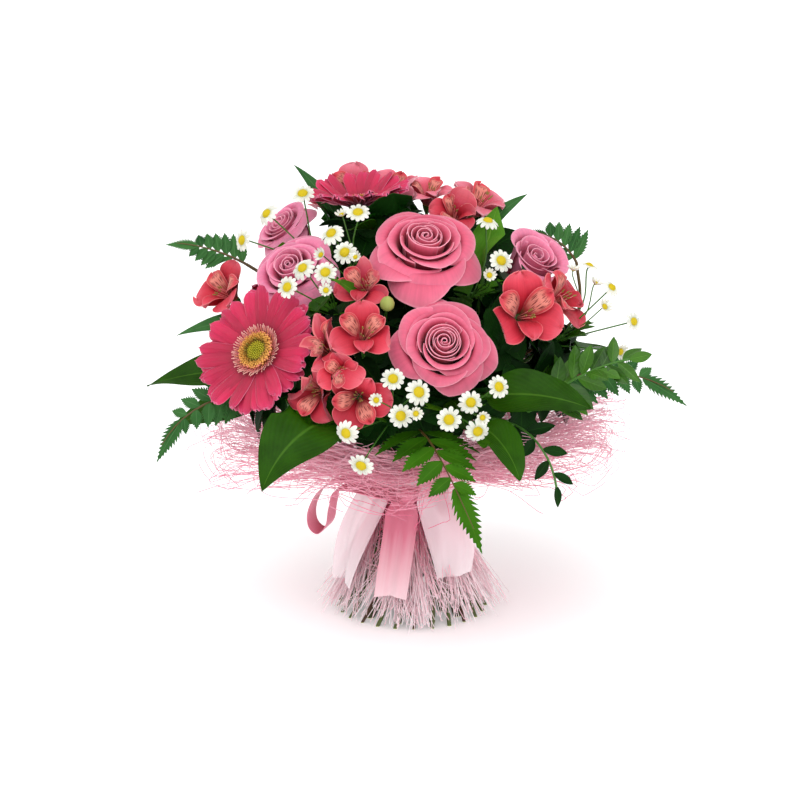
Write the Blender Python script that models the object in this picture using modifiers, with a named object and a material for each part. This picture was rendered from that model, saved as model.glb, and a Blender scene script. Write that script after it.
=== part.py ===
"""A hand-tied rose bouquet that stands on the cut ends of its spiralled stems.

Roses, gerberas, alstroemerias, feverfew, broad leaves, leather ferns and ruscus are held at one
tie, with a sisal wrap and two ribbons round it. Lengths below are in millimetres, angles in
degrees, and every mesh is written in metres. +Z is up, -Y is the front, and the origin is the
middle of the cut end of the central stem.
"""

import itertools
import math

import bmesh
import bpy
from mathutils import Matrix, Vector
from mathutils.geometry import intersect_point_line

MM = 0.001

# The tie and the spiral of stems through it.
ROSE_STEM = 3.0
TIE_HEIGHT = 96.0
TIE_STRAIGHT = 22.0
UPPER_TURN = 62.0
RINGS = {
    "centre": {"outside": ROSE_STEM, "slope": 0.0},
    "inner": {"seat": 3.7, "slope": 0.25},
    "middle": {"outside": 16.45, "slope": 0.39},
    "outer": {"seat": 16.75, "slope": 0.50},
}
DOME_CENTRE = Vector((0.0, 0.0, 150.0))
BLADE_THICKNESS = 0.8
SEAT_GAP = 0.35

COLOURS = {
    "rose_petal": (0.75, 0.20, 0.30, 0.5, 0.0),
    "gerbera_ray": (0.72, 0.07, 0.17, 0.45, 0.0),
    "gerbera_disc": (0.62, 0.48, 0.10, 0.7, 0.0),
    "alstroemeria": (0.72, 0.12, 0.14, 0.45, 0.0),
    "feverfew": (0.80, 0.78, 0.62, 0.6, 0.0),
    "stem": (0.16, 0.26, 0.08, 0.5, 0.0),
    "leaf": (0.04, 0.14, 0.02, 0.35, 0.0),
    "fern": (0.04, 0.16, 0.05, 0.5, 0.0),
    "sisal": (0.82, 0.33, 0.42, 0.8, 0.0),
    "satin": (0.80, 0.42, 0.48, 0.3, 0.0),
    "organza": (0.88, 0.66, 0.72, 0.4, 0.0),
    "twine": (0.45, 0.33, 0.18, 0.8, 0.0),
}

# Sizes of the flowers and their stalks.
ROSE_HEIGHT = 44.0
PETAL_STEP = 0.09
PETAL_THICKNESS = 0.9
ROSE_LAYERS = [
    {"count": 3, "radius": 21.0, "height": 38.0, "lap": 2, "closing": 0.56, "reflex": 6.0,
     "columns": 3, "foot": 6.0, "base": 4.0},
    {"count": 5, "radius": 32.0, "height": 33.0, "lap": 6, "closing": 0.50, "reflex": 15.0,
     "columns": 2, "foot": 5.4, "base": 1.6},
]
GERBERA_RADIUS = 45.0
GERBERA_CUP = 7.0
GERBERA_RAY_WIDTH = 12.0
GERBERA_STEM = 2.6
BROAD_TEPAL = (24.0, 22.0, 8.6, 0.52)
NARROW_TEPAL = (17.5, 26.0, 4.8, 0.32)
FLORET_DEPTH = 25.0
FLORET_HUB_DEPTH = 52.0
ALSTROEMERIA_STEM = 2.0
FEVERFEW_RADIUS = 10.0
FEVERFEW_HUB_DEPTH = 42.0
THIN_STEM = 1.5
FORK_STEP = 4.0

# How closely the pieces may lie.
STEM_MARGIN = 2.5
STEM_GAP = 1.1
HUB_MARGIN = 5.0
STEM_REACH = 70.0
SPREAD_ROUNDS = 12
PETAL_MARGIN = 1.5
LEAF_MARGIN = 2.0

# The wrap, the ribbons and the twine.
WRAP_WAIST = 23.2
COLLAR_REACH = 100.0
COLLAR_SIDES = 34.0
COLLAR_RUFFLE = 5.0
COLLAR_FOLD = 6.0
SATIN_RADIUS = 25.2
ORGANZA_RADIUS = 26.5
TWINE_RADIUS = 21.5
TWINE_PITCH = 2.2



def table(fields, rows):
    """Each row as a dictionary with these fields."""
    return {name: dict(zip(fields.split(), values)) for name, values in rows.items()}


# Where the heads, leaves and fronds are. A head's place is the middle of its face, and a leaf's or
# frond's is the foot of its blade. A face looks along a bearing and a lean from the vertical.
ROSES = table("at faces size spin", {
    "front": ((22, -111, 229), (276, 52), 1.0, 0.0),
    "upper": ((9, -46, 280), (281, 30), 1.04, 40.0),
    "left": ((-90, -12, 256), (200, 38), 0.80, 80.0),
    "right": ((90, 18, 255), (5, 34), 0.74, 15.0),
    "far_left": ((-95, 60, 268), (150, 40), 0.74, 60.0),
    "back_right": ((90, 82, 215), (42, 62), 0.85, 25.0),
    "back": ((-3, 98, 248), (92, 46), 0.92, 50.0),
})
GERBERAS = table("at faces size rays", {
    "left": ((-105, -75, 209), (233, 55), 1.0, (11, 11)),
    "top": ((-37, 40, 285), (136, 8), 0.80, (9, 9)),
    "back": ((-88, 92, 202), (135, 66), 0.95, (9, 9)),
})
# Each floret has a place and a size, and each long leaf a heading, a climb and a length.
ALSTROEMERIAS = table("turn florets leaves", {
    "right": ((0.0, -0.35, 0.05), [(78, -75, 238, 1.05), (107, -31, 237, 0.9)], []),
    "front": ((0.1, -0.3, 0.1), [
        (-33, -108, 234, 0.85), (-60, -102, 222, 0.85), (-68, -112, 190, 0.8), (-36, -128, 190, 0.85),
    ], []),
    "centre": ((0, -0.2, 0), [(-34, -68, 256, 0.75)], [(205, 62, 52)]),
    "left": ((0, 0, 0.2), [(-136, 22, 228, 0.85)], [(190, 12, 75)]),
    "upper_left": ((0, 0, 0.3), [(-60, 98, 278, 0.8)], [(150, 60, 95)]),
    "upper": ((0, 0, 0.3), [(12, 64, 290, 0.7)], []),
    "upper_right": ((0.2, 0, 0.3), [(50, 46, 288, 0.85)], [(20, 60, 70)]),
    "back": ((0, 0, 0), [(40, 122, 196, 0.9), (-16, 134, 180, 0.9)], []),
})
FEVERFEWS = table("turn heads", {
    "left": ((0, -0.4, 0), [(-84, -76, 254), (-74, -64, 264), (-60, -74, 264)]),
    "upper_left": ((0, -0.4, 0), [(-76, 24, 294), (-101, 23, 280), (-118, 19, 262)]),
    "centre": ((0, -0.4, 0), [(-37, -34, 295), (-55, -36, 281), (-45, -46, 272)]),
    "front": ((0, -0.3, 0), [
        (-13, -134, 207), (4, -141, 200), (-8, -142, 184), (-44, -142, 172), (-34, -143, 150),
    ]),
    "front_right": ((0, -0.3, 0), [
        (24, -144, 182), (38, -139, 192), (57, -129, 200), (43, -141, 173),
    ]),
    "upper_right": ((0, -0.3, 0), [(60, -52, 266), (50, -18, 284)]),
    "right": ((0, -0.3, 0.1), [(122, -12, 252), (136, -40, 244), (150, -62, 226)]),
    "back": ((0, 0, 0.2), [(46, 98, 244), (58, 70, 262), (30, 76, 270)]),
})
LEAVES = table("foot heading climb droop length width roll", {
    "far_left": ((-98, 8, 170), 176, 4, 24, 90, 30, 25),
    "low_left": ((-98, -30, 160), 194, 2, 28, 74, 26, 15),
    "front_left": ((-44, -98, 170), 236, 8, 85, 92, 46, -25),
    "front_right": ((50, -92, 182), 335, 8, 28, 88, 36, 38),
    "lower_right": ((44, -112, 168), 306, 0, 60, 56, 32, 0),
    "upper_right": ((54, 8, 246), 20, 86, 30, 50, 30, 0),
    "back_left": ((-62, 100, 165), 138, -6, 45, 88, 36, 0),
    "back": ((14, 112, 158), 80, 6, 55, 86, 36, 0),
    "back_right": ((92, 66, 164), 38, 8, 40, 84, 34, 0),
})
FERNS = table("foot heading climb droop length width pairs", {
    "front": ((4, -96, 160), 284, 10, 100, 112, 104, 7),
    "low_left": ((-112, -56, 172), 202, 10, 80, 86, 44, 6),
    "far_right": ((104, -44, 180), 352, 22, 62, 92, 50, 6),
    "upper_left": ((-116, 36, 240), 168, 40, 30, 58, 28, 5),
    "upper_right": ((112, 38, 238), 20, 50, 40, 52, 34, 5),
    "back": ((50, 104, 166), 62, 10, 75, 96, 60, 6),
})
SPRIGS = table("foot heading climb droop length pairs", {
    "right": ((88, -74, 172), 342, 46, 30, 72, 4),
    "low_right": ((64, -92, 164), 318, 0, 80, 62, 3),
})
ROOM = []


# Vectors, curves and places on the dome.
def polar(bearing, lean, reach):
    """A vector of length reach that leans from the vertical towards a compass bearing."""
    b, k = math.radians(bearing), math.radians(lean)
    return Vector((math.cos(b) * math.sin(k), math.sin(b) * math.sin(k), math.cos(k))) * reach


def bezier(points, t):
    """A point of the Bezier curve with these control points."""
    level = [Vector(p) for p in points]
    while len(level) > 1:
        level = [a.lerp(b, t) for a, b in zip(level, level[1:])]
    return level[0]


def sampled(points, count):
    return [bezier(points, i / (count - 1)) for i in range(count)]


def frame_along(direction, spin=0.0):
    """The rotation that turns +Z to direction, and then spins about it."""
    turn = Vector(direction).normalized().to_track_quat("Z", "Y").to_matrix().to_4x4()
    return turn @ Matrix.Rotation(math.radians(spin), 4, "Z")


# Blender building blocks.
def new_collection(name, shown=True):
    made = bpy.data.collections.new(name)
    bpy.context.scene.collection.children.link(made)
    made.hide_render = not shown
    return made


def material(slot):
    found = bpy.data.materials.get(slot)
    if found:
        return found
    found = bpy.data.materials.new(slot)
    found.use_nodes = True
    red, green, blue, roughness, metallic = COLOURS[slot]
    shader = found.node_tree.nodes["Principled BSDF"]
    shader.inputs["Base Color"].default_value = (red, green, blue, 1.0)
    shader.inputs["Roughness"].default_value = roughness
    shader.inputs["Metallic"].default_value = metallic
    found.diffuse_color = (red, green, blue, 1.0)
    return found


def linked(name, mesh, collection):
    obj = bpy.data.objects.new(name, mesh)
    collection.objects.link(obj)
    return obj


def baked(obj, name, collection):
    """The object with its modifiers applied, as a new mesh object; the first one is removed."""
    graph = bpy.context.evaluated_depsgraph_get()
    mesh = bpy.data.meshes.new_from_object(obj.evaluated_get(graph))
    made = linked(name, mesh, collection)
    made.matrix_world = obj.matrix_world.copy()
    bpy.data.objects.remove(obj)
    return made


def welded(obj, distance=0.0001):
    bm = bmesh.new()
    bm.from_mesh(obj.data)
    bmesh.ops.remove_doubles(bm, verts=bm.verts, dist=distance)
    bmesh.ops.recalc_face_normals(bm, faces=bm.faces)
    bm.to_mesh(obj.data)
    bm.free()
    return obj


def tube(points, radii, sides=6):
    """A round stalk through these points, with filled ends; radii is one value or one a point."""
    if not isinstance(radii, list):
        radii = [radii] * len(points)
    curve = bpy.data.curves.new("tube", "CURVE")
    curve.dimensions = "3D"
    curve.bevel_depth = 1.0 * MM
    curve.bevel_resolution = (sides - 4) // 2
    curve.use_fill_caps = True
    spline = curve.splines.new("POLY")
    spline.points.add(len(points) - 1)
    for place, point, radius in zip(spline.points, points, radii):
        place.co = (*(Vector(point) * MM), 1.0)
        place.radius = radius
    return welded(baked(linked("tube", curve, PIECES), "tube", PIECES))


def cut_on_surface(obj):
    """Cuts a stalk square on the surface that the bouquet stands on."""
    bm = bmesh.new()
    bm.from_mesh(obj.data)
    everything = bm.verts[:] + bm.edges[:] + bm.faces[:]
    cut = bmesh.ops.bisect_plane(
        bm, geom=everything, plane_co=(0, 0, 0), plane_no=(0, 0, 1), clear_inner=True
    )
    edges = [e for e in cut["geom_cut"] if isinstance(e, bmesh.types.BMEdge)]
    bmesh.ops.contextual_create(bm, geom=edges)
    bmesh.ops.recalc_face_normals(bm, faces=bm.faces)
    bm.to_mesh(obj.data)
    bm.free()
    return obj


def turned(profile, steps, place=Matrix.Identity(4)):
    """A turned solid: the profile runs from the top of the axis down its outer side."""
    mesh = bpy.data.meshes.new("turned")
    points = [(r * MM, 0.0, h * MM) for r, h in profile]
    mesh.from_pydata(points, [(i, i + 1) for i in range(len(points) - 1)], [])
    obj = linked("turned", mesh, PIECES)
    screw = obj.modifiers.new("screw", "SCREW")
    screw.steps = screw.render_steps = steps
    screw.use_merge_vertices = True
    screw.merge_threshold = 0.00001
    solid = welded(baked(obj, "turned", PIECES), 0.00001)
    solid.data.transform(in_metres(place))
    return solid


def in_metres(place):
    """A placing matrix in millimetres as one in metres."""
    scaled = place.copy()
    scaled.translation = place.translation * MM
    return scaled


def blade(shape, rows, columns=2, thickness=BLADE_THICKNESS, place=Matrix.Identity(4)):
    """A thin petal or leaf: shape(across, along) gives a point, across -1..1, along 0..1.

    Points that fall together are merged, so a blade may end in a point or run round.
    """
    bm = bmesh.new()
    bmesh.ops.create_grid(bm, x_segments=columns, y_segments=rows, size=1.0)
    for vertex in bm.verts:
        point = place @ Vector(shape(vertex.co.x, (vertex.co.y + 1) / 2))
        vertex.co = point * MM
    bmesh.ops.remove_doubles(bm, verts=bm.verts, dist=0.00001)
    bmesh.ops.triangulate(bm, faces=bm.faces, quad_method="FIXED")
    mesh = bpy.data.meshes.new("blade")
    bm.to_mesh(mesh)
    bm.free()
    obj = linked("blade", mesh, PIECES)
    solidify = obj.modifiers.new("thickness", "SOLIDIFY")
    solidify.thickness = thickness * MM
    solidify.offset = 0.0
    solidify.use_even_offset = False
    return welded(baked(obj, "blade", PIECES), 0.000001)


def fused(name, slot, pieces):
    """Joins the pieces in one solid, named and coloured, in the bouquet's collection."""
    base, rest = pieces[0], pieces[1:]
    if rest:
        operands = new_collection("operands")
        for piece in rest:
            PIECES.objects.unlink(piece)
            operands.objects.link(piece)
        union = base.modifiers.new("union", "BOOLEAN")
        union.operand_type = "COLLECTION"
        union.collection = operands
        union.operation = "UNION"
        union.solver = "MANIFOLD"
        joined = baked(base, name, BOUQUET)
        for piece in list(operands.objects):
            bpy.data.objects.remove(piece)
        bpy.data.collections.remove(operands)
    else:
        joined = baked(base, name, BOUQUET)
    joined.data.materials.clear()
    joined.data.materials.append(material(slot))
    joined.parent = ROOT
    return joined


# The spiral of stems.
def stem_points(ring, bearing, radius, end, way, samples=5, reach=0.45):
    """From the cut end, straight through the tie, then in one bend to the foot of the head."""
    spec = RINGS[ring]
    angle = math.radians(bearing)
    outward = Vector((math.cos(angle), math.sin(angle), 0.0))
    along = Vector((-math.sin(angle) * spec["slope"], math.cos(angle) * spec["slope"], 1.0))
    from_axis = spec["outside"] - radius if "outside" in spec else spec["seat"] + radius
    at_tie = outward * from_axis + Vector((0.0, 0.0, TIE_HEIGHT))
    foot = at_tie - along * (TIE_HEIGHT + 4.0)
    start = at_tie + along * TIE_STRAIGHT
    span = (end - start).length
    handles = [
        start,
        start + along.normalized() * span * reach,
        end - way.normalized() * span * reach,
        end,
    ]
    return [foot, *sampled(handles, samples)]


def nearest(a, b, c, d):
    """The shares along a-b and c-d at which the two stretches come nearest."""
    along = 0.5
    for _ in range(4):
        other = min(1.0, max(0.0, intersect_point_line(a.lerp(b, along), c, d)[1]))
        along = min(1.0, max(0.0, intersect_point_line(c.lerp(d, other), a, b)[1]))
    return along, other


def spread_apart(plants):
    """Bends the stems above the tie until they clear each other and the heads."""
    for _ in range(SPREAD_ROUNDS):
        for one, two in itertools.combinations(plants, 2):
            room = one["radius"] + two["radius"] + STEM_GAP
            a, b = one["path"], two["path"]
            for i, j in itertools.product(range(1, len(a) - 1), range(1, len(b) - 1)):
                if (a[i] - b[j]).length > STEM_REACH:
                    continue
                along, other = nearest(a[i], a[i + 1], b[j], b[j + 1])
                apart = a[i].lerp(a[i + 1], along) - b[j].lerp(b[j + 1], other)
                if apart.length < room:
                    push = apart.normalized() * (room - apart.length) * 0.7
                    shift(a, i, push, along)
                    shift(b, j, -push, other)
        for plant in plants:
            plant["path"] = bent_clear(plant["path"], plant["radius"], "_".join(plant["key"]))


def shift(path, index, push, along):
    """Moves the ends of a stretch of stem, but neither the tied part nor the head's foot."""
    if index >= 2:
        path[index] = path[index] + push * (1 - along)
    if index + 1 < len(path) - 1:
        path[index + 1] = path[index + 1] + push * along


# Room for the heads, so that softer pieces bend round them.
def keep_room(owner, centre, axis, radius, half):
    ROOM.append((owner, Vector(centre), Vector(axis).normalized(), radius, half))


def clear_of_heads(point, margin, owner=None):
    """The point, moved out of any head's ellipsoid that it lies in."""
    for _ in range(3):
        for name, centre, axis, radius, half in ROOM:
            if owner and name.startswith(owner):
                continue
            offset = point - centre
            deep = offset.dot(axis)
            side = (offset - axis * deep).length
            share = math.hypot(side / (radius + margin), deep / (half + margin))
            if 0.001 < share < 1.0:
                point = centre + offset / share
    return point


def bent_clear(points, radius, owner):
    """A stem's points, with those above the tie moved clear of the other heads."""
    fixed = points[:2]
    moved = [clear_of_heads(p, radius + STEM_MARGIN, owner) for p in points[2:-1]]
    return [*fixed, *moved, points[-1]]


def facing(spec):
    return polar(*spec["faces"], 1.0)


def reserve_heads():
    for name, spec in ROSES.items():
        axis = facing(spec)
        middle = Vector(spec["at"]) - axis * ROSE_HEIGHT * 0.42 * spec["size"]
        keep_room(f"rose_{name}", middle, axis, 42 * spec["size"], 27 * spec["size"])
    for name, spec in GERBERAS.items():
        keep_room(f"gerbera_{name}", spec["at"], facing(spec), 51 * spec["size"], 12 * spec["size"])
    for name, spec in ALSTROEMERIAS.items():
        hub = spray_hub(spec["florets"], FLORET_HUB_DEPTH)
        for number, spot in enumerate(spec["florets"]):
            axis = head_axis(spot, hub, spec["turn"])
            middle = Vector(spot[:3]) - axis * FLORET_DEPTH * 0.4 * spot[3]
            keep_room(f"alstroemeria_{name}_{number}", middle, axis, 27 * spot[3], 15 * spot[3])


def spray_hub(heads, depth):
    """The place where a spray branches, below the middle of its heads."""
    middle = sum((Vector(h[:3]) for h in heads), Vector()) / len(heads)
    return middle - (middle - DOME_CENTRE).normalized() * depth


def branching(path, number):
    """The place on a spray's stem from which its stalks part, one below the other."""
    end, before = Vector(path[-1]), Vector(path[-2])
    return end + (before - end).normalized() * (0.6 + FORK_STEP * number)


def head_axis(place, hub, turn):
    """A head looks away from where its spray branches, turned towards the light."""
    return ((Vector(place[:3]) - hub).normalized() + Vector(turn)).normalized()


# Roses.
def rose_petal(layer, number, count, size, place):
    """A petal that wraps the bud; its right edge lies outside the next one's left edge."""
    spec = ROSE_LAYERS[layer]
    middle = 2 * math.pi * (number + 0.37 * layer) / count

    def shape(across, along):
        spread = math.radians(spec["lap"] + 180.0 / count) * min(2.0 * along, 1.0)
        angle = middle + across * spread
        bulge = math.sin(math.pi * spec["closing"] * along) ** 0.9
        full = spec["radius"] * (1 + PETAL_STEP / size * across)
        radius = spec["foot"] + (full - spec["foot"]) * bulge
        radius += spec["reflex"] * max(0.0, along - 0.6)
        height = spec["base"] + spec["height"] * along * (1 - 0.16 * across * across * along)
        height -= spec["reflex"] * max(0.0, along - 0.75) * 1.6
        return Vector((radius * math.cos(angle), radius * math.sin(angle), height)) * size

    columns = spec["columns"] if size >= 1.0 else 2
    return blade(shape, 2, columns, thickness=PETAL_THICKNESS, place=place)


def rose_bud(size, place):
    """The closed middle, whose three wrapped petals show as steps that run up in a spiral."""
    sides = 7
    seat = SEAT_GAP / size
    profile = [(0, 35), (5.5, 40), (10.5, 34), (11.5, 18), (6.4, seat), (0, seat)]
    bud = turned([(r * size, h * size) for r, h in profile], sides)
    for vertex in bud.data.vertices:
        height = vertex.co.z / (size * MM)
        if 5 < height < 40.5 and vertex.co.xy.length > 0.1 * MM:
            turn = math.atan2(vertex.co.y, vertex.co.x) / (2 * math.pi) + height / 90.0
            step = 1.0 + 0.20 * ((3 * turn) % 1.0 - 0.5)
            vertex.co.x *= step
            vertex.co.y *= step
    bud.data.transform(in_metres(place))
    return bud


def rose(name, spec, path):
    axis = facing(spec)
    size = spec["size"]
    base = Vector(spec["at"]) - axis * ROSE_HEIGHT * size
    place = Matrix.Translation(base) @ frame_along(axis, spec["spin"])
    pieces = [rose_bud(size, place)]
    for layer, details in enumerate(ROSE_LAYERS):
        count = details["count"] - (layer == 1 and size < 1.0)
        for number in range(count):
            pieces.append(rose_petal(layer, number, count, size, place))
    fused(f"rose_{name}_bloom", "rose_petal", pieces)

    hip = [base - axis * 5.0, base]
    green = [cut_on_surface(tube([*path, *hip], [ROSE_STEM] * len(path) + [7.0, 6.0]))]
    side = frame_along(axis, 15.0)
    for number in range(5):
        turn = side @ Matrix.Rotation(2 * math.pi * number / 5, 4, "Z")
        inner, tip = base + turn @ Vector((4.0, 0, -4.0)), base + turn @ Vector((19.0, 0, -11.0))
        green.append(needle(inner, tip, 2.4))
    fused(f"rose_{name}_stem", "stem", green)


# Gerberas.
def gerbera_ray(number, count, layer, size, place):
    angle = 2 * math.pi * (number + 0.5 * layer) / count
    reach = (GERBERA_RADIUS - 1.5 * layer) * (1 + 0.03 * math.sin(5.0 * number + layer))

    def shape(across, along):
        radius = 7 + (reach - 7) * along
        swell = math.sin(math.pi * (0.1 + 0.74 * along))
        full = GERBERA_RAY_WIDTH * 5.8 / count * (0.45 + 0.55 * swell)
        half = full * min(1.0, 2.4 * along)
        height = -3.4 - 1.6 * layer + GERBERA_CUP * math.sin(1.45 * along) - 0.8 * abs(across)
        along_ray = Vector((math.cos(angle), math.sin(angle), 0))
        across_ray = Vector((-math.sin(angle), math.cos(angle), 0))
        return (along_ray * radius + across_ray * across * half + Vector((0, 0, height))) * size

    return blade(shape, rows=2, columns=1, place=place)


def gerbera(name, spec, path):
    axis = facing(spec)
    size = spec["size"]
    place = Matrix.Translation(Vector(spec["at"])) @ frame_along(axis, 7.0)
    seat = [(0, -2), (10, -2), (10.4, -4.5), (7.6, -8), (0, -8)]
    rays = [turned([(r * size, h * size) for r, h in seat], 9, place)]
    for layer, count in enumerate(spec["rays"]):
        for number in range(count):
            rays.append(gerbera_ray(number, count, layer, size, place))
    fused(f"gerbera_{name}_rays", "gerbera_ray", rays)
    gerbera_disc(name, size, place)

    cup_top = Vector(spec["at"]) - axis * (8 * size + SEAT_GAP)
    cup = [cup_top - axis * 5.0, cup_top]
    radii = [GERBERA_STEM] * len(path) + [6.4, 7.4]
    fused(f"gerbera_{name}_stem", "stem", [cut_on_surface(tube([*path, *cup], radii))])


def gerbera_disc(name, size, place):
    """The centre, with the short florets round it as a crimped rim."""
    bottom = -2 + SEAT_GAP / size
    profile = [(0, 2.4), (8.5, 4.2), (14.5, 1.8), (9.4, bottom), (0, bottom)]
    disc = turned([(r * size, h * size) for r, h in profile], 16)
    for vertex in disc.data.vertices:
        out = math.hypot(vertex.co.x, vertex.co.y)
        if out > 12 * size * MM:
            step = round(math.atan2(vertex.co.y, vertex.co.x) / (2 * math.pi / 16))
            crimp = 1.0 + (0.07 if step % 2 else -0.07)
            vertex.co.x *= crimp
            vertex.co.y *= crimp
    disc.data.transform(in_metres(place))
    fused(f"gerbera_{name}_disc", "gerbera_disc", [disc])


# Alstroemerias.
def tepal(angle, broad, size, place, owner):
    """One of the six; the three outer ones are broad and the inner ones narrow and upright."""
    reach, rise, width, share = BROAD_TEPAL if broad else NARROW_TEPAL

    def shape(across, along):
        radius = 2.0 + reach * along**1.7
        height = rise * math.sin(min(1.15 * along, 1.0) * 1.57) + 2.2 * across * across * along
        half = min(1.3 + width * math.sin(math.pi * (0.08 + 0.79 * along)), share * radius)
        half *= min(1.0, 3.0 * along)
        out = Vector((math.cos(angle), math.sin(angle), 0))
        side = Vector((-math.sin(angle), math.cos(angle), 0))
        local = (out * radius + side * across * half + Vector((0, 0, height))) * size
        return clear_of_heads(place @ local, PETAL_MARGIN, owner)

    return blade(shape, rows=2, columns=2 if broad and size > 1.0 else 1)


def needle(start, end, radius):
    """A stamen, thorn or bristle: a slim three-sided cone."""
    start, end = Vector(start), Vector(end)
    bm = bmesh.new()
    length = (end - start).length
    place = Matrix.Translation((start + end) / 2 * MM) @ frame_along(end - start)
    bmesh.ops.create_cone(
        bm, cap_ends=True, segments=3, radius1=radius * MM, radius2=0.0,
        depth=length * MM, matrix=place,
    )
    mesh = bpy.data.meshes.new("needle")
    bm.to_mesh(mesh)
    bm.free()
    return linked("needle", mesh, PIECES)


def floret(spot, hub, fork, turn, spin, owner):
    size = spot[3]
    axis = head_axis(spot, hub, turn)
    base = Vector(spot[:3]) - axis * FLORET_DEPTH * size
    place = Matrix.Translation(base) @ frame_along(axis, spin)
    pieces = []
    for number in range(3):
        pieces.append(tepal(math.radians(120 * number + 90), True, size, place, owner))
        pieces.append(tepal(math.radians(120 * number + 30), False, size, place, owner))
    bend = clear_of_heads(fork.lerp(base - axis * 5.0 * size, 0.55), 2.0, owner)
    pieces.append(tube([fork, bend, base + axis * 3.0 * size], [1.3, 1.3, 3.8], sides=4))
    return pieces


def alstroemeria(name, spec, path):
    owner = f"alstroemeria_{name}"
    hub = spray_hub(spec["florets"], FLORET_HUB_DEPTH)
    pieces = [cut_on_surface(tube(path, ALSTROEMERIA_STEM, sides=4))]
    for number, spot in enumerate(spec["florets"]):
        fork = branching(path, number)
        pieces += floret(spot, hub, fork, spec["turn"], 50.0 * number, f"{owner}_{number}")
    for heading, climb, length in spec["leaves"]:
        midrib = arch(hub, heading, climb, 35.0, length)
        pieces.append(leaf_blade(midrib, 5.5, rows=3, owner=owner, wave=0.0))
    fused(owner, "alstroemeria", pieces)


# Feverfew.
def feverfew_head(place):
    """A head in one piece: the domed middle, and rays with notches between them."""
    lobes = 6
    profile = [(0, 3.4), (4.0, 1.1), (FEVERFEW_RADIUS, 0.6), (FEVERFEW_RADIUS, 0.0), (0, -1.6)]
    head = turned(profile, 2 * lobes)
    for vertex in head.data.vertices:
        if vertex.co.xy.length > 6 * MM:
            step = round(math.atan2(vertex.co.y, vertex.co.x) / (math.pi / lobes))
            if step % 2:
                vertex.co.xy *= 0.6
    head.data.transform(in_metres(place))
    return head


def feverfew(name, spec, path):
    owner = f"feverfew_{name}"
    hub = FEVERFEW_HUBS[name]
    pieces = [cut_on_surface(tube(path, THIN_STEM, sides=4))]
    for number, spot in enumerate(FEVERFEW_SPOTS[name]):
        axis = head_axis(spot, hub, spec["turn"])
        beside = axis.orthogonal().normalized() * 2.6
        pieces.append(needle(branching(path, number), spot + beside + axis * 0.6, 1.2))
        pieces.append(feverfew_head(Matrix.Translation(spot) @ frame_along(axis, 11.0)))
    fused(owner, "feverfew", pieces)


# Leaves, fronds and sprigs.
def arch(foot, heading, climb, droop, length, roll=0.0):
    """A drooping midrib: along 0..1 gives its point, its side and its upper direction."""
    start, bend = math.radians(climb), math.radians(droop)
    toward = polar(heading, 90.0, 1.0)
    up = Vector((0.0, 0.0, 1.0))
    level = up.cross(toward)

    def at(along):
        pitch = start - bend * along
        flat = (math.sin(start) - math.sin(pitch)) / bend * length
        rise = (math.cos(pitch) - math.cos(start)) / bend * length
        forward = toward * math.cos(pitch) + up * math.sin(pitch)
        above = up * math.cos(pitch) - toward * math.sin(pitch)
        lean = math.radians(roll)
        side = level * math.cos(lean) + above * math.sin(lean)
        over = above * math.cos(lean) - level * math.sin(lean)
        return Vector(foot) + toward * flat + up * rise, side, over, forward

    return at


def leaf_blade(midrib, width, rows=4, owner=None, wave=1.5):
    """A broad leaf, folded along its midrib and waved along its edges."""

    def shape(across, along):
        point, side, over, _ = midrib(along)
        half = width * max(0.0, math.sin(math.pi * along**0.8)) ** 0.8
        lift = abs(across) * half * 0.22 + across * wave * math.sin(9.0 * along)
        return clear_of_heads(point + side * across * half + over * lift, LEAF_MARGIN, owner)

    return blade(shape, rows=rows, columns=2)


def leaf_midrib(spec):
    shape = [spec[key] for key in ("foot", "heading", "climb", "droop", "length")]
    return arch(*shape, spec.get("roll", 0.0))


def broad_leaf(name, spec, path):
    midrib = leaf_midrib(spec)
    stalk = cut_on_surface(tube([*path, midrib(0.04)[0]], THIN_STEM, sides=4))
    fused(f"leaf_{name}", "leaf", [stalk, leaf_blade(midrib, spec["width"] / 2)])


def fern(name, spec, path):
    """A frond in one thin blade, cut to its rib into toothed leaflets that point forward."""
    midrib = leaf_midrib(spec)
    rows = 2 * spec["pairs"]

    def shape(across, along):
        step = round(along * rows)
        point, side, over, forward = midrib(along)
        full = spec["width"] / 2 * (1 - along) ** 0.8 * min(1.0, 0.55 + 3.0 * along) + 1.5
        half = full if step % 2 else 1.3
        ahead = 0.42 * full * abs(across) if step % 2 else 0.0
        drop = 0.15 * half * abs(across)
        moved = point + side * across * half + forward * ahead - over * drop
        return clear_of_heads(moved, LEAF_MARGIN)

    tip = midrib(0.02)[0]
    stalk = cut_on_surface(tube([*path, tip], THIN_STEM * 0.8, sides=4))
    fused(f"fern_{name}", "fern", [stalk, blade(shape, rows=rows, columns=2)])


def sprig(name, spec, path):
    """A leafy twig with pointed oval leaves on alternate sides."""
    midrib = leaf_midrib(spec)
    twig = [midrib(i / 3)[0] for i in range(4)]
    pieces = [cut_on_surface(tube(path, THIN_STEM * 0.9, sides=4)), tube(twig, 1.0, sides=4)]
    for number in range(spec["pairs"] * 2 + 1):
        along = 0.12 + 0.86 * number / (spec["pairs"] * 2)
        point, side, over, forward = midrib(along)
        hand = 1 if number % 2 else -1
        last = number == spec["pairs"] * 2
        way = forward if last else (side * hand * 0.85 + forward * 0.6 + over * 0.2).normalized()
        pieces.append(sprig_leaf(point, way, over, 22.0 * (1 - 0.3 * along)))
    fused(f"sprig_{name}", "leaf", pieces)


def sprig_leaf(point, way, over, length):
    side = way.cross(over).normalized()

    def shape(across, along):
        half = 0.27 * length * math.sin(math.pi * along**0.9)
        middle = point + way * length * along - over * 2.5 * along * along
        return clear_of_heads(middle + side * across * half, LEAF_MARGIN)

    return blade(shape, rows=2, columns=1)


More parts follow.
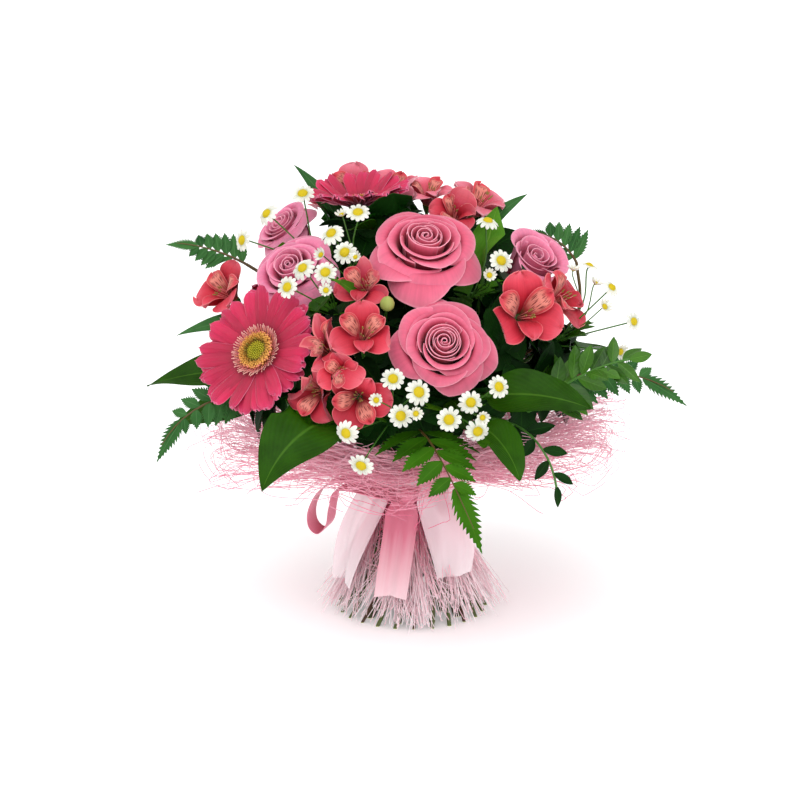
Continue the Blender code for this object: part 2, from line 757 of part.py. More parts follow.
# Wrap, ribbons and twine.
def wrap_radius(height):
    """The wrap's mean radius at a height, just outside the stems below the tie."""
    below = max(0.0, TIE_HEIGHT - height - 10.0)
    return math.hypot(WRAP_WAIST, below * RINGS["outer"]["slope"] * 1.06) + 0.06 * below


def sisal_wrap():
    """One mat, pinched at the tie: a ruffled collar above it and a fringed skirt below."""
    folds = 12
    heights = [7.0, 46.0, 86.0, 106.0, 128.0, 156.0]
    last = len(heights) - 1
    waist = 2

    def shape(across, along):
        step = round(along * last)
        angle = math.pi * across
        wave = math.cos(folds * angle)
        if step <= waist:
            height = heights[step]
            share = (waist - step) / waist
            if step == 0:
                height += 16.0 * (1 + wave)
            radius = wrap_radius(height) + 2.2 * share * (1.0 + wave)
            return Vector((radius * math.cos(angle), radius * math.sin(angle), height))
        share = max(0.0, (step - waist - 1) / (last - waist - 1))
        rim = COLLAR_REACH + COLLAR_SIDES * math.cos(angle) ** 2
        radius = WRAP_WAIST + (rim - WRAP_WAIST) * share
        if step == last:
            radius += COLLAR_FOLD * wave
        height = heights[step] + COLLAR_RUFFLE * share * math.cos(folds / 2 * angle + 0.6)
        return Vector((radius * math.cos(angle), radius * math.sin(angle), height))

    fused("sisal_wrap", "sisal", [blade(shape, rows=last, columns=2 * folds)])


def ring_band(radius, low, high):
    """A flat band round the waist."""

    def shape(across, along):
        angle = math.pi * across
        return Vector((radius * math.cos(angle), radius * math.sin(angle), low + (high - low) * along))

    return blade(shape, rows=1, columns=12)


def tail(points, width, twist=0.0, notch=0.0):
    """A ribbon's tail along these points, flat against the skirt, with its end cut in a notch."""
    rows = 5

    def shape(across, along):
        point = bezier(points, along)
        out = Vector((point.x, point.y, 0.0)).normalized()
        side = out.cross(Vector((0, 0, 1)))
        side = (side + out * twist * math.sin(math.pi * along)).normalized()
        down = Vector((0, 0, notch * (1 - abs(across)) * (along > 0.99)))
        return point + side * across * width / 2 * min(1.0, 0.5 + 2.0 * along) + down

    return blade(shape, rows=rows, columns=2)


def loop(centre, way, length, width, tall):
    """A bow's loop: a flattened ring of ribbon that hangs out from the knot."""
    way = Vector(way).normalized()
    over = Vector((0, 0, 1))
    side = way.cross(over).normalized()
    over = side.cross(way)

    def shape(across, along):
        turn = math.pi * across
        reach = length / 2 * (1 - math.cos(turn))
        rise = tall / 2 * math.sin(turn)
        return Vector(centre) + way * reach + over * rise + side * (along - 0.5) * width

    return blade(shape, rows=1, columns=10)


def knot(centre, size):
    bm = bmesh.new()
    bmesh.ops.create_icosphere(bm, subdivisions=1, radius=MM)
    for vertex in bm.verts:
        vertex.co = Vector(vertex.co[i] * size[i] for i in range(3)) + Vector(centre) * MM
    mesh = bpy.data.meshes.new("knot")
    bm.to_mesh(mesh)
    bm.free()
    return linked("knot", mesh, PIECES)


def satin_ribbon():
    front = -SATIN_RADIUS
    hang = [(-4, front - 3, 90), (-6, front - 12, 76), (-8, front - 20, 50), (-9, -64, 20)]
    pieces = [
        ring_band(SATIN_RADIUS, 87.5, 97.0),
        knot((-3, front - 2.5, 90.5), (8.0, 4.0, 5.0)),
        tail(hang, 24.0, notch=5.0),
        loop((-7, front - 5, 90), (-0.80, -0.52, -0.20), 48.0, 10.0, 13.0),
    ]
    fused("satin_ribbon", "satin", pieces)


def organza_ribbon():
    def hang(bearing, low):
        start = polar(bearing, 90.0, ORGANZA_RADIUS - 0.9)
        end = polar(bearing, 90.0, wrap_radius(low) + 13.0)
        top, mid = Vector((0, 0, 101)), Vector((0, 0, 80))
        return [start + top, start * 1.25 + mid, end * 0.86 + mid * 0.7, end + Vector((0, 0, low))]

    pieces = [
        ring_band(ORGANZA_RADIUS, 96.4, 103.0),
        tail(hang(222.0, 44.0), 24.0, twist=0.3, notch=7.0),
        tail(hang(308.0, 52.0), 27.0, twist=-0.3, notch=7.0),
    ]
    fused("organza_ribbon", "organza", pieces)


def binding_twine():
    """Three turns of twine that hold the stems together under the wrap."""
    turns, sides_of_turn = 1.5, 12
    points = []
    for step in range(int(turns * sides_of_turn) + 1):
        angle = 2 * math.pi * step / sides_of_turn
        height = TIE_HEIGHT - 3.0 + TWINE_PITCH * step / sides_of_turn
        points.append((TWINE_RADIUS * math.cos(angle), TWINE_RADIUS * math.sin(angle), height))
    fused("binding_twine", "twine", [tube(points, 0.7, sides=4)])


# The whole bouquet.
def stalk_end(kind, name, spec):
    """Where a stalk ends and the way it runs there."""
    if kind == "rose":
        axis = facing(spec)
        return Vector(spec["at"]) - axis * (ROSE_HEIGHT * spec["size"] + 12.0), axis, ROSE_STEM
    if kind == "gerbera":
        axis = facing(spec)
        return Vector(spec["at"]) - axis * (8.0 * spec["size"] + 9.0), axis, GERBERA_STEM
    if kind == "alstroemeria":
        hub = spray_hub(spec["florets"], FLORET_HUB_DEPTH)
        return hub, hub - DOME_CENTRE + Vector((0, 0, 40)), ALSTROEMERIA_STEM
    if kind == "feverfew":
        hub = FEVERFEW_HUBS[name]
        return hub, hub - DOME_CENTRE + Vector((0, 0, 40)), THIN_STEM
    return Vector(spec["foot"]), leaf_midrib(spec)(0.0)[3], THIN_STEM


def stems():
    """Every stalk's points: the steeper a head stands, the further in its ring."""
    plants = []
    for kind, (table, _) in KINDS.items():
        for name, spec in table.items():
            end, way, radius = stalk_end(kind, name, spec)
            off = end - DOME_CENTRE
            plants.append({"key": (kind, name), "end": end, "way": way, "radius": radius,
                           "lean": math.atan2(math.hypot(off.x, off.y), off.z),
                           "bearing": math.degrees(math.atan2(off.y, off.x)) % 360})
    thick = sorted((p for p in plants if p["radius"] > 1.6), key=lambda p: p["lean"])
    rings = {"centre": thick[:1], "inner": thick[1:7], "middle": thick[7:],
             "outer": [p for p in plants if p["radius"] <= 1.6]}
    for ring, members in rings.items():
        members.sort(key=lambda p: p["bearing"])
        count = len(members)
        drift = sum(p["bearing"] - 360 * k / count for k, p in enumerate(members)) / count
        for k, plant in enumerate(members):
            angle = drift + 360 * k / count - UPPER_TURN
            plant["path"] = stem_points(ring, angle, plant["radius"], plant["end"], plant["way"])
    spread_apart(plants)
    return {plant["key"]: plant["path"] for plant in plants}


def reserve_feverfew():
    """Feverfew heads find their places between the flowers that are there already."""
    for name, spec in FEVERFEWS.items():
        hub = clear_of_heads(spray_hub(spec["heads"], FEVERFEW_HUB_DEPTH), HUB_MARGIN)
        FEVERFEW_HUBS[name] = hub
        spots = []
        for place in spec["heads"]:
            spots.append(clear_of_heads(Vector(place), FEVERFEW_RADIUS * 0.8))
            keep_room(f"feverfew_{name}", spots[-1], head_axis(spots[-1], hub, spec["turn"]), 11.0, 6.0)
        FEVERFEW_SPOTS[name] = spots


FEVERFEW_HUBS = {}
FEVERFEW_SPOTS = {}
KINDS = {
    "rose": (ROSES, rose),
    "gerbera": (GERBERAS, gerbera),
    "alstroemeria": (ALSTROEMERIAS, alstroemeria),
    "feverfew": (FEVERFEWS, feverfew),
    "leaf": (LEAVES, broad_leaf),
    "fern": (FERNS, fern),
    "sprig": (SPRIGS, sprig),
}

for old in list(bpy.data.objects):
    bpy.data.objects.remove(old)
BOUQUET = new_collection("rose_bouquet")
PIECES = new_collection("pieces")
ROOT = linked("bouquet", None, BOUQUET)

reserve_heads()
reserve_feverfew()
for (kind, name), path in stems().items():
    table, build = KINDS[kind]
    build(name, table[name], path)
sisal_wrap()
satin_ribbon()
organza_ribbon()
binding_twine()
bpy.data.collections.remove(PIECES)
for piece in BOUQUET.objects:
    if piece.type == "MESH":
        piece.data.shade_smooth()
        piece.data.set_sharp_from_angle(angle=math.radians(40.0))
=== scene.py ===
"""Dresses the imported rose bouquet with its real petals, leaves, fibres and ribbons.

Lengths are in millimetres and angles in degrees, until a mesh is made. +Z is up and -Y is the front,
and the bouquet stands on its cut stems. The stems run as in the part's source, and the heads, leaves
and fronds are where it has them. A few were then turned or sized a little to match the photograph.
"""

import itertools
import math
import random

import bpy
import numpy as np
from mathutils import Matrix, Vector
from mathutils.geometry import intersect_point_line


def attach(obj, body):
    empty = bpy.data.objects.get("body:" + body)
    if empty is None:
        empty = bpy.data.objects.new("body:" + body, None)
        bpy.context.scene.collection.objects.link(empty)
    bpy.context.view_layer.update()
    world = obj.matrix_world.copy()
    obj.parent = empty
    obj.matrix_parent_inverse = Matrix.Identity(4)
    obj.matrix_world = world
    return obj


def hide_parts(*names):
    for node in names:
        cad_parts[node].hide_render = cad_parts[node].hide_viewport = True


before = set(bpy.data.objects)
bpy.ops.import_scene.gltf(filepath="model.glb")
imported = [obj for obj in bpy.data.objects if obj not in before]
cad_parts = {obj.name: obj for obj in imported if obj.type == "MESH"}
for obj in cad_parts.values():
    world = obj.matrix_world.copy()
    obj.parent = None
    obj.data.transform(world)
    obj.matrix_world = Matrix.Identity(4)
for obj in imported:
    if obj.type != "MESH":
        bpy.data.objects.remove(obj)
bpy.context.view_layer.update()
bpy.ops.object.select_all(action="DESELECT")
random.seed(7)

MM = 0.001

# The tie and the spiral of stems through it. A ring says how far from the axis the outer or the
# inner edge of its stems lies at the tie, and how far they go sideways for each millimetre up.
ROSE_STEM = 3.0
TIE_HEIGHT = 96.0
TIE_STRAIGHT = 22.0
BELOW_GROUND = 4.0
BEND_REACH = 0.45
BEND_SAMPLES = 5
UPPER_TURN = 62.0
THICKEST_OUTER_STEM = 1.6
INNER_STEMS = 6
RINGS = {
    "centre": {"outside": ROSE_STEM, "slope": 0.0},
    "inner": {"seat": 3.7, "slope": 0.25},
    "middle": {"outside": 16.45, "slope": 0.39},
    "outer": {"seat": 16.75, "slope": 0.50},
}
DOME_CENTRE = Vector((0.0, 0.0, 150.0))
# A spray's stem runs away from the dome's centre, and this much more upwards.
SPRAY_RISE = Vector((0, 0, 40))

# Sizes of the flowers and their stalks. A bloom's middle parts its height in two shares.
ROSE_HEIGHT = 44.0
BLOOM_ABOVE = 0.42
BLOOM_BELOW = 0.58
ROSE_NECK = 12.0
GERBERA_BACK = 8.0
GERBERA_NECK = 9.0
GERBERA_STEM = 2.6
BROAD_TEPAL = (24.0, 22.0)
NARROW_TEPAL = (17.5, 26.0)
FLORET_DEPTH = 25.0
FLORET_HUB_DEPTH = 52.0
ALSTROEMERIA_STEM = 2.0
FEVERFEW_RADIUS = 10.0
FEVERFEW_HUB_DEPTH = 42.0
THIN_STEM = 1.5
FORK_START = 0.6
FORK_STEP = 4.0

# How thick the blades of each kind are.
WALLS = {
    "rose": 0.5, "sepal": 0.5, "ray": 0.4, "tepal": 0.4, "feverfew": 0.3, "lobed": 0.35, "leaf": 0.4,
    "broad": 0.55, "frond": 0.35, "sprig": 0.45, "satin": 0.4, "organza": 0.3,
}

# How closely the pieces may lie, and how often they are moved until they do.
STEM_MARGIN = 2.5
STEM_GAP = 1.1
HUB_MARGIN = 5.0
STEM_REACH = 70.0
SPREAD_ROUNDS = 12
SPREAD_SHARE = 0.7
CLEAR_ROUNDS = 3
AT_CENTRE = 0.001
PETAL_MARGIN = 1.5
LEAF_MARGIN = 2.0
NECK_MARGIN = 2.0
HEAD_STALK_MARGIN = 1.0
# The room that a head takes up at full size: an ellipsoid's radius and half its depth.
HEAD_ROOMS = {
    "rose": (42.0, 27.0), "gerbera": (51.0, 12.0), "alstroemeria": (27.0, 15.0),
    "feverfew": (11.0, 6.0), "side": (20.0, 12.0),
}

# The wrap and the ribbons.
WRAP_WAIST = 23.2
COLLAR_REACH = 100.0
COLLAR_SIDES = 34.0
SATIN_RADIUS = 25.2
ORGANZA_RADIUS = 26.5

# A whole turn for waves that start anywhere, and how far round each petal and disc floret stands
# from the one before.
WHOLE_TURN = 6.28
PETAL_TURN = 137.5
DISC_TURN = 137.508
# Faces that meet at less than this angle are shaded smooth, and points this near, in metres, merge.
SMOOTH_ANGLE = 50.0
MERGE_DISTANCE = 0.00001


def table(fields, rows):
    """Each row as a dictionary with these fields."""
    return {name: dict(zip(fields.split(), values)) for name, values in rows.items()}


# Where the heads, leaves and fronds are. A head's place is the middle of its face, and a leaf's or
# frond's is the foot of its blade. A face looks along a bearing and a lean from the vertical.
# A rose has so many petals, is open this far, and has its outer petals lifted. It is shown looking
# along another bearing and lean than its solid, and raised. A gerbera has two layers of rays.
ROSES = table("at faces size spin petals open tint lift shown rise", {
    "front": ((22, -111, 229), (276, 52), 1.0, 0.0, 28, 1.0, "warm", -3.0, (276, 52), 1.0),
    "upper": ((9, -46, 280), (281, 30), 1.14, 40.0, 26, 1.0, "warm", -8.0, (281, 30), 12.0),
    "left": ((-90, -12, 256), (200, 38), 0.92, 80.0, 24, 0.95, "pale", -5.0, (240, 40), 5.0),
    "right": ((90, 18, 255), (5, 34), 0.84, 15.0, 14, 0.80, "mauve", 8.0, (318, 36), 3.0),
    "far_left": ((-95, 60, 268), (150, 40), 0.74, 60.0, 24, 0.95, "pale", -3.0, (205, 40), 3.0),
    "back_right": ((90, 82, 215), (42, 62), 0.85, 25.0, 25, 1.0, "warm", 0.0, (42, 62), 0.0),
    "back": ((-3, 98, 248), (92, 46), 0.92, 50.0, 25, 1.0, "pale", 0.0, (92, 46), 0.0),
})
GERBERAS = table("at faces size rays cup", {
    "left": ((-105, -75, 209), (233, 55), 1.0, (22, 21), 7.0),
    "top": ((-37, 40, 285), (136, 8), 0.80, (20, 18), 12.0),
    "back": ((-88, 92, 202), (135, 66), 0.95, (22, 20), 7.0),
})
# Each floret has a place and a size, and each long leaf a heading, climb, length and roll.
ALSTROEMERIAS = table("turn florets leaves", {
    "right": ((0.0, -0.35, 0.05), [(78, -75, 238, 1.05), (107, -31, 237, 0.9)], []),
    "front": ((0.1, -0.3, 0.1), [
        (-33, -108, 234, 0.85), (-60, -102, 222, 0.85), (-68, -112, 190, 0.8), (-36, -128, 190, 0.85),
    ], []),
    "centre": ((0, -0.2, 0), [(-34, -68, 256, 0.75)], [(232, 58, 78, -60)]),
    "left": ((0.1, -0.7, 0.3), [(-136, 22, 228, 0.85)], [(190, 14, 75, -45)]),
    "upper_left": ((0, -0.6, 0.1), [(-60, 98, 278, 0.8)], [(150, 68, 78, -45)]),
    "upper": ((0, -0.6, 0.1), [(12, 64, 290, 0.7)], []),
    "upper_right": ((0.2, -0.5, 0.1), [(50, 46, 288, 0.85)], [(20, 60, 70, 40)]),
    "back": ((0, 0, 0), [(40, 122, 196, 0.9), (-16, 134, 180, 0.9)], []),
})
PALE_SPRAYS = ("upper_left", "upper", "upper_right")
# More florets on the same sprays, which fill the gaps between their larger ones.
SIDE_FLORETS = table("spray at faces size skin", {
    "crown_left": ("upper_left", (-43, 76, 288), (262, 42), 0.80, "pale_tepal"),
    "crown_middle": ("upper", (-12, 62, 289), (268, 40), 0.75, "pale_tepal"),
    "crown_front": ("upper_right", (30, 26, 283), (275, 35), 0.70, "tepal"),
    "cluster": ("front", (-48, -123, 209), (262, 60), 0.60, "tepal"),
})
# The middle of the round bud between the two large roses, and its profile along its axis: places
# and radii.
CLOSED_BUD = (-17, -82, 244)
BUD_PROFILE = (
    (-4.8, 1.8), (-3.6, 3.6), (-1.8, 4.8), (0.8, 5.0), (3.2, 4.1), (5.2, 2.6), (6.8, 1.2), (7.6, 0.3),
)
# The heads of one spray are smaller than the others, which have 0.90 of the full size.
FEVERFEW_FULL = {"right": 0.70}
# Small heads and buds on the same sprays: a place and a share of the full size.
FEVERFEW_BUDS = {
    "right": [(111, -16, 250, 0.5), (126, -22, 242, 0.5), (131, -46, 232, 0.55), (141, -66, 206, 0.6)],
    "centre": [(-36, -50, 268, 0.45), (-48, -20, 290, 0.5), (-62, -44, 268, 0.5)],
    "upper_right": [(52, -60, 258, 0.5)],
    "left": [(-58, -84, 254, 0.5)],
    "front": [(2, -150, 188, 0.5), (-24, -146, 196, 0.5)],
    "front_right": [(46, -146, 184, 0.5)],
}
FEVERFEWS = table("turn heads", {
    "left": ((0, -0.4, 0), [(-84, -76, 254), (-74, -64, 264), (-60, -74, 264)]),
    "upper_left": ((0, -0.4, 0), [(-76, 24, 294), (-101, 23, 280), (-118, 19, 262)]),
    "centre": ((0, -0.4, 0), [(-37, -34, 295), (-55, -36, 281), (-45, -46, 272)]),
    "front": ((0, -0.3, 0), [
        (-13, -134, 207), (4, -141, 200), (-8, -142, 184), (-44, -142, 172), (-34, -143, 150),
    ]),
    "front_right": ((0, -0.3, 0), [
        (24, -144, 182), (38, -139, 192), (57, -129, 200), (43, -141, 173),
    ]),
    "upper_right": ((0, -0.3, 0), [(60, -52, 266), (50, -18, 284)]),
    "right": ((0, -0.3, 0.1), [(122, -12, 252), (136, -40, 244), (150, -62, 226)]),
    "back": ((0, 0, 0.2), [(46, 98, 244), (58, 70, 262), (30, 76, 270)]),
})
LEAVES = table("foot heading climb droop length width roll", {
    "far_left": ((-98, 8, 170), 176, 4, 24, 90, 30, -32),
    "low_left": ((-98, -30, 160), 194, 2, 28, 74, 26, -32),
    "front_left": ((-44, -98, 170), 219, 10, 76, 88, 50, -25),
    "front_right": ((50, -92, 182), 335, 16, 30, 77, 36, 38),
    "lower_right": ((44, -112, 168), 306, 0, 60, 56, 32, 0),
    "upper_right": ((50, 8, 244), 20, 84, 12, 45, 26, 70),
    "back_left": ((-62, 100, 165), 138, -6, 45, 88, 36, 0),
    "back": ((14, 112, 158), 80, 6, 55, 86, 36, 0),
    "back_right": ((92, 66, 164), 38, 8, 40, 84, 34, 0),
})
FERNS = table("foot heading climb droop length width pairs roll sway", {
    "front": ((4, -96, 160), 284, 10, 100, 112, 84, 5, 0, 26),
    "low_left": ((-112, -56, 172), 202, 10, 80, 86, 44, 5, -50, 0),
    "far_right": ((104, -44, 180), 352, 22, 62, 92, 50, 5, 50, 0),
    "upper_left": ((-116, 36, 240), 168, 27, 30, 62, 40, 6, -55, 0),
    "upper_right": ((116, 46, 239), 160, 60, 70, 48, 44, 5, -60, 0),
    "back": ((50, 104, 166), 62, 10, 75, 96, 60, 5, 0, 0),
})
SPRIGS = table("foot heading climb droop length pairs", {
    "right": ((88, -74, 172), 342, 46, 30, 72, 4),
    "low_right": ((64, -92, 164), 318, 0, 80, 62, 3),
})
# The room that the heads have taken, as keep_room notes it.
ROOM = []


# Vectors, curves and places on the dome.
def polar(bearing, lean, reach):
    """A vector of length reach that leans from the vertical towards a compass bearing."""
    b, k = math.radians(bearing), math.radians(lean)
    return Vector((math.cos(b) * math.sin(k), math.sin(b) * math.sin(k), math.cos(k))) * reach


def bezier(points, t):
    """A point of the Bezier curve with these control points."""
    level = [Vector(p) for p in points]
    while len(level) > 1:
        level = [a.lerp(b, t) for a, b in zip(level, level[1:])]
    return level[0]


def sampled(points, count):
    """Points of the Bezier curve, in even steps from its start to its end."""
    return [bezier(points, i / (count - 1)) for i in range(count)]


def smoothed(points, steps=4):
    """More points, on the smooth curve that runs through these."""
    ends = [points[0], *points, points[-1]]
    line = []
    for a, b, c, d in zip(ends, ends[1:], ends[2:], ends[3:]):
        for step in range(steps):
            t = step / steps
            line.append(0.5 * (2 * b + (c - a) * t + (2 * a - 5 * b + 4 * c - d) * t * t
                               + (3 * b - a - 3 * c + d) * t**3))
    return [*line, points[-1]]


def frame_along(direction, spin=0.0):
    """The rotation that turns +Z to direction, and then spins about it."""
    turn = Vector(direction).normalized().to_track_quat("Z", "Y").to_matrix().to_4x4()
    return turn @ Matrix.Rotation(math.radians(spin), 4, "Z")


def standing(spot, axis, spin=0.0):
    """The place of a thing that stands at this spot along this axis, turned about it."""
    return Matrix.Translation(spot) @ frame_along(axis, spin)


def spoke(angle):
    """The level way out at this angle, in radians, and the level way across it."""
    out = Vector((math.cos(angle), math.sin(angle), 0))
    return out, Vector((-math.sin(angle), math.cos(angle), 0))


def in_metres(place):
    """A placing matrix in millimetres as one in metres."""
    scaled = place.copy()
    scaled.translation = place.translation * MM
    return scaled


# The spiral of stems, as in the part's source.
def stem_points(ring, bearing, radius, end, way):
    """From the cut end, straight through the tie, then in one bend to the foot of the head."""
    spec = RINGS[ring]
    angle = math.radians(bearing)
    outward = Vector((math.cos(angle), math.sin(angle), 0.0))
    along = Vector((-math.sin(angle) * spec["slope"], math.cos(angle) * spec["slope"], 1.0))
    from_axis = spec["outside"] - radius if "outside" in spec else spec["seat"] + radius
    at_tie = outward * from_axis + Vector((0.0, 0.0, TIE_HEIGHT))
    foot = at_tie - along * (TIE_HEIGHT + BELOW_GROUND)
    start = at_tie + along * TIE_STRAIGHT
    span = (end - start).length
    handles = [
        start,
        start + along.normalized() * span * BEND_REACH,
        end - way.normalized() * span * BEND_REACH,
        end,
    ]
    return [foot, *sampled(handles, BEND_SAMPLES)]


def nearest(a, b, c, d):
    """The shares along a-b and c-d at which the two stretches come nearest."""
    along = 0.5
    for _ in range(4):
        other = min(1.0, max(0.0, intersect_point_line(a.lerp(b, along), c, d)[1]))
        along = min(1.0, max(0.0, intersect_point_line(c.lerp(d, other), a, b)[1]))
    return along, other


def spread_apart(plants):
    """Bends the stems above the tie until they clear each other and the heads."""
    for _ in range(SPREAD_ROUNDS):
        for one, two in itertools.combinations(plants, 2):
            room = one["radius"] + two["radius"] + STEM_GAP
            a, b = one["path"], two["path"]
            for i, j in itertools.product(range(1, len(a) - 1), range(1, len(b) - 1)):
                if (a[i] - b[j]).length > STEM_REACH:
                    continue
                along, other = nearest(a[i], a[i + 1], b[j], b[j + 1])
                apart = a[i].lerp(a[i + 1], along) - b[j].lerp(b[j + 1], other)
                if apart.length < room:
                    push = apart.normalized() * (room - apart.length) * SPREAD_SHARE
                    shift(a, i, push, along)
                    shift(b, j, -push, other)
        for plant in plants:
            plant["path"] = bent_clear(plant["path"], plant["radius"], "_".join(plant["key"]))


def shift(path, index, push, along):
    """Moves the ends of a stretch of stem, but neither the tied part nor the head's foot."""
    if index >= 2:
        path[index] = path[index] + push * (1 - along)
    if index + 1 < len(path) - 1:
        path[index + 1] = path[index + 1] + push * along


# Room for the heads, so that softer pieces bend round them.
def keep_room(owner, kind, centre, axis, size=1.0):
    """Notes the room of a head of this kind, round its centre and along its axis."""
    radius, half = HEAD_ROOMS[kind]
    ROOM.append((owner, Vector(centre), Vector(axis).normalized(), radius * size, half * size))


def clear_of_heads(point, margin, owner=None):
    """The point, moved out of any head's ellipsoid that it lies in."""
    for _ in range(CLEAR_ROUNDS):
        for name, centre, axis, radius, half in ROOM:
            if owner and name.startswith(owner):
                continue
            offset = point - centre
            deep = offset.dot(axis)
            side = (offset - axis * deep).length
            share = math.hypot(side / (radius + margin), deep / (half + margin))
            if AT_CENTRE < share < 1.0:
                point = centre + offset / share
    return point


def bent_clear(points, radius, owner):
    """A stem's points, with those above the tie moved clear of the other heads."""
    fixed = points[:2]
    moved = [clear_of_heads(p, radius + STEM_MARGIN, owner) for p in points[2:-1]]
    return [*fixed, *moved, points[-1]]


def facing(spec):
    """The way a head looks."""
    return polar(*spec["faces"], 1.0)


def bloom_middle(spec):
    """The middle of a rose bloom, below its face."""
    return Vector(spec["at"]) - facing(spec) * ROSE_HEIGHT * BLOOM_ABOVE * spec["size"]


def reserve_heads():
    """The roses, gerberas and alstroemerias have their places first."""
    for name, spec in ROSES.items():
        keep_room(f"rose_{name}", "rose", bloom_middle(spec), facing(spec), spec["size"])
    for name, spec in GERBERAS.items():
        keep_room(f"gerbera_{name}", "gerbera", spec["at"], facing(spec), spec["size"])
    for name, spec in ALSTROEMERIAS.items():
        hub = spray_hub(spec["florets"], FLORET_HUB_DEPTH)
        for number, spot in enumerate(spec["florets"]):
            axis = head_axis(spot, hub, spec["turn"])
            middle = Vector(spot[:3]) - axis * FLORET_DEPTH * 0.4 * spot[3]
            keep_room(f"alstroemeria_{name}_{number}", "alstroemeria", middle, axis, spot[3])


def reserve_feverfew():
    """Feverfew heads find their places between the flowers that are there already."""
    for name, spec in FEVERFEWS.items():
        hub = clear_of_heads(spray_hub(spec["heads"], FEVERFEW_HUB_DEPTH), HUB_MARGIN)
        FEVERFEW_HUBS[name] = hub
        spots = []
        for place in spec["heads"]:
            spots.append(clear_of_heads(Vector(place), FEVERFEW_RADIUS * 0.8))
            axis = head_axis(spots[-1], hub, spec["turn"])
            keep_room(f"feverfew_{name}", "feverfew", spots[-1], axis)
        FEVERFEW_SPOTS[name] = spots


def spray_hub(heads, depth):
    """The place where a spray branches, below the middle of its heads."""
    middle = sum((Vector(h[:3]) for h in heads), Vector()) / len(heads)
    return middle - (middle - DOME_CENTRE).normalized() * depth


def branching(path, number):
    """The place on a spray's stem from which its stalks part, one below the other."""
    end, before = Vector(path[-1]), Vector(path[-2])
    return end + (before - end).normalized() * (FORK_START + FORK_STEP * number)


def head_axis(place, hub, turn):
    """A head looks away from where its spray branches, turned towards the light."""
    return ((Vector(place[:3]) - hub).normalized() + Vector(turn)).normalized()


def arch(foot, heading, climb, droop, length, roll=0.0):
    """A drooping midrib: along 0..1 gives its point, its side, its upper direction and its way."""
    start, bend = math.radians(climb), math.radians(droop)
    toward = polar(heading, 90.0, 1.0)
    up = Vector((0.0, 0.0, 1.0))
    level = up.cross(toward)

    def at(along):
        pitch = start - bend * along
        flat = (math.sin(start) - math.sin(pitch)) / bend * length
        rise = (math.cos(pitch) - math.cos(start)) / bend * length
        forward = toward * math.cos(pitch) + up * math.sin(pitch)
        above = up * math.cos(pitch) - toward * math.sin(pitch)
        lean = math.radians(roll)
        side = level * math.cos(lean) + above * math.sin(lean)
        over = above * math.cos(lean) - level * math.sin(lean)
        return Vector(foot) + toward * flat + up * rise, side, over, forward

    return at


def leaf_midrib(spec):
    """The midrib of a leaf, frond or sprig, from its row."""
    shape = [spec[key] for key in ("foot", "heading", "climb", "droop", "length")]
    return arch(*shape, spec.get("roll", 0.0))


def wrap_radius(height):
    """The wrap's mean radius at a height, just outside the stems below the tie."""
    below = max(0.0, TIE_HEIGHT - height - 10.0)
    return math.hypot(WRAP_WAIST, below * RINGS["outer"]["slope"] * 1.06) + 0.06 * below


def stalk_end(kind, name, spec):
    """Where a stalk ends, the way it runs there, and its radius."""
    if kind == "rose":
        axis = facing(spec)
        return Vector(spec["at"]) - axis * (ROSE_HEIGHT * spec["size"] + ROSE_NECK), axis, ROSE_STEM
    if kind == "gerbera":
        axis = facing(spec)
        depth = GERBERA_BACK * spec["size"] + GERBERA_NECK
        return Vector(spec["at"]) - axis * depth, axis, GERBERA_STEM
    if kind == "alstroemeria":
        hub = spray_hub(spec["florets"], FLORET_HUB_DEPTH)
        return hub, hub - DOME_CENTRE + SPRAY_RISE, ALSTROEMERIA_STEM
    if kind == "feverfew":
        hub = FEVERFEW_HUBS[name]
        return hub, hub - DOME_CENTRE + SPRAY_RISE, THIN_STEM
    return Vector(spec["foot"]), leaf_midrib(spec)(0.0)[3], THIN_STEM


def stems():
    """Every stalk's points: the steeper a head stands, the further in its ring."""
    plants = []
    for kind, (rows, _) in KINDS.items():
        for name, spec in rows.items():
            end, way, radius = stalk_end(kind, name, spec)
            off = end - DOME_CENTRE
            plants.append({"key": (kind, name), "end": end, "way": way, "radius": radius,
                           "lean": math.atan2(math.hypot(off.x, off.y), off.z),
                           "bearing": math.degrees(math.atan2(off.y, off.x)) % 360})
    thick = [p for p in plants if p["radius"] > THICKEST_OUTER_STEM]
    thick.sort(key=lambda p: p["lean"])
    rings = {
        "centre": thick[:1],
        "inner": thick[1:1 + INNER_STEMS],
        "middle": thick[1 + INNER_STEMS:],
        "outer": [p for p in plants if p["radius"] <= THICKEST_OUTER_STEM],
    }
    for ring, members in rings.items():
        members.sort(key=lambda p: p["bearing"])
        count = len(members)
        drift = sum(p["bearing"] - 360 * k / count for k, p in enumerate(members)) / count
        for k, plant in enumerate(members):
            angle = drift + 360 * k / count - UPPER_TURN
            plant["path"] = stem_points(ring, angle, plant["radius"], plant["end"], plant["way"])
    spread_apart(plants)
    return {plant["key"]: plant["path"] for plant in plants}


# Colours and finishes. Sockets go by number or name: a Map Range takes its value, and what it maps
# from and to, as 0 to 4, and a Mix of colours takes its share as 0 and its two colours as 6 and 7.
def colour(code, alpha=1.0):
    """A colour given in sRGB hex, as the linear one that shaders take."""
    parts = [int(code[i:i + 2], 16) / 255 for i in (0, 2, 4)]
    return (*(p / 12.92 if p < 0.04045 else ((p + 0.055) / 1.055) ** 2.4 for p in parts), alpha)


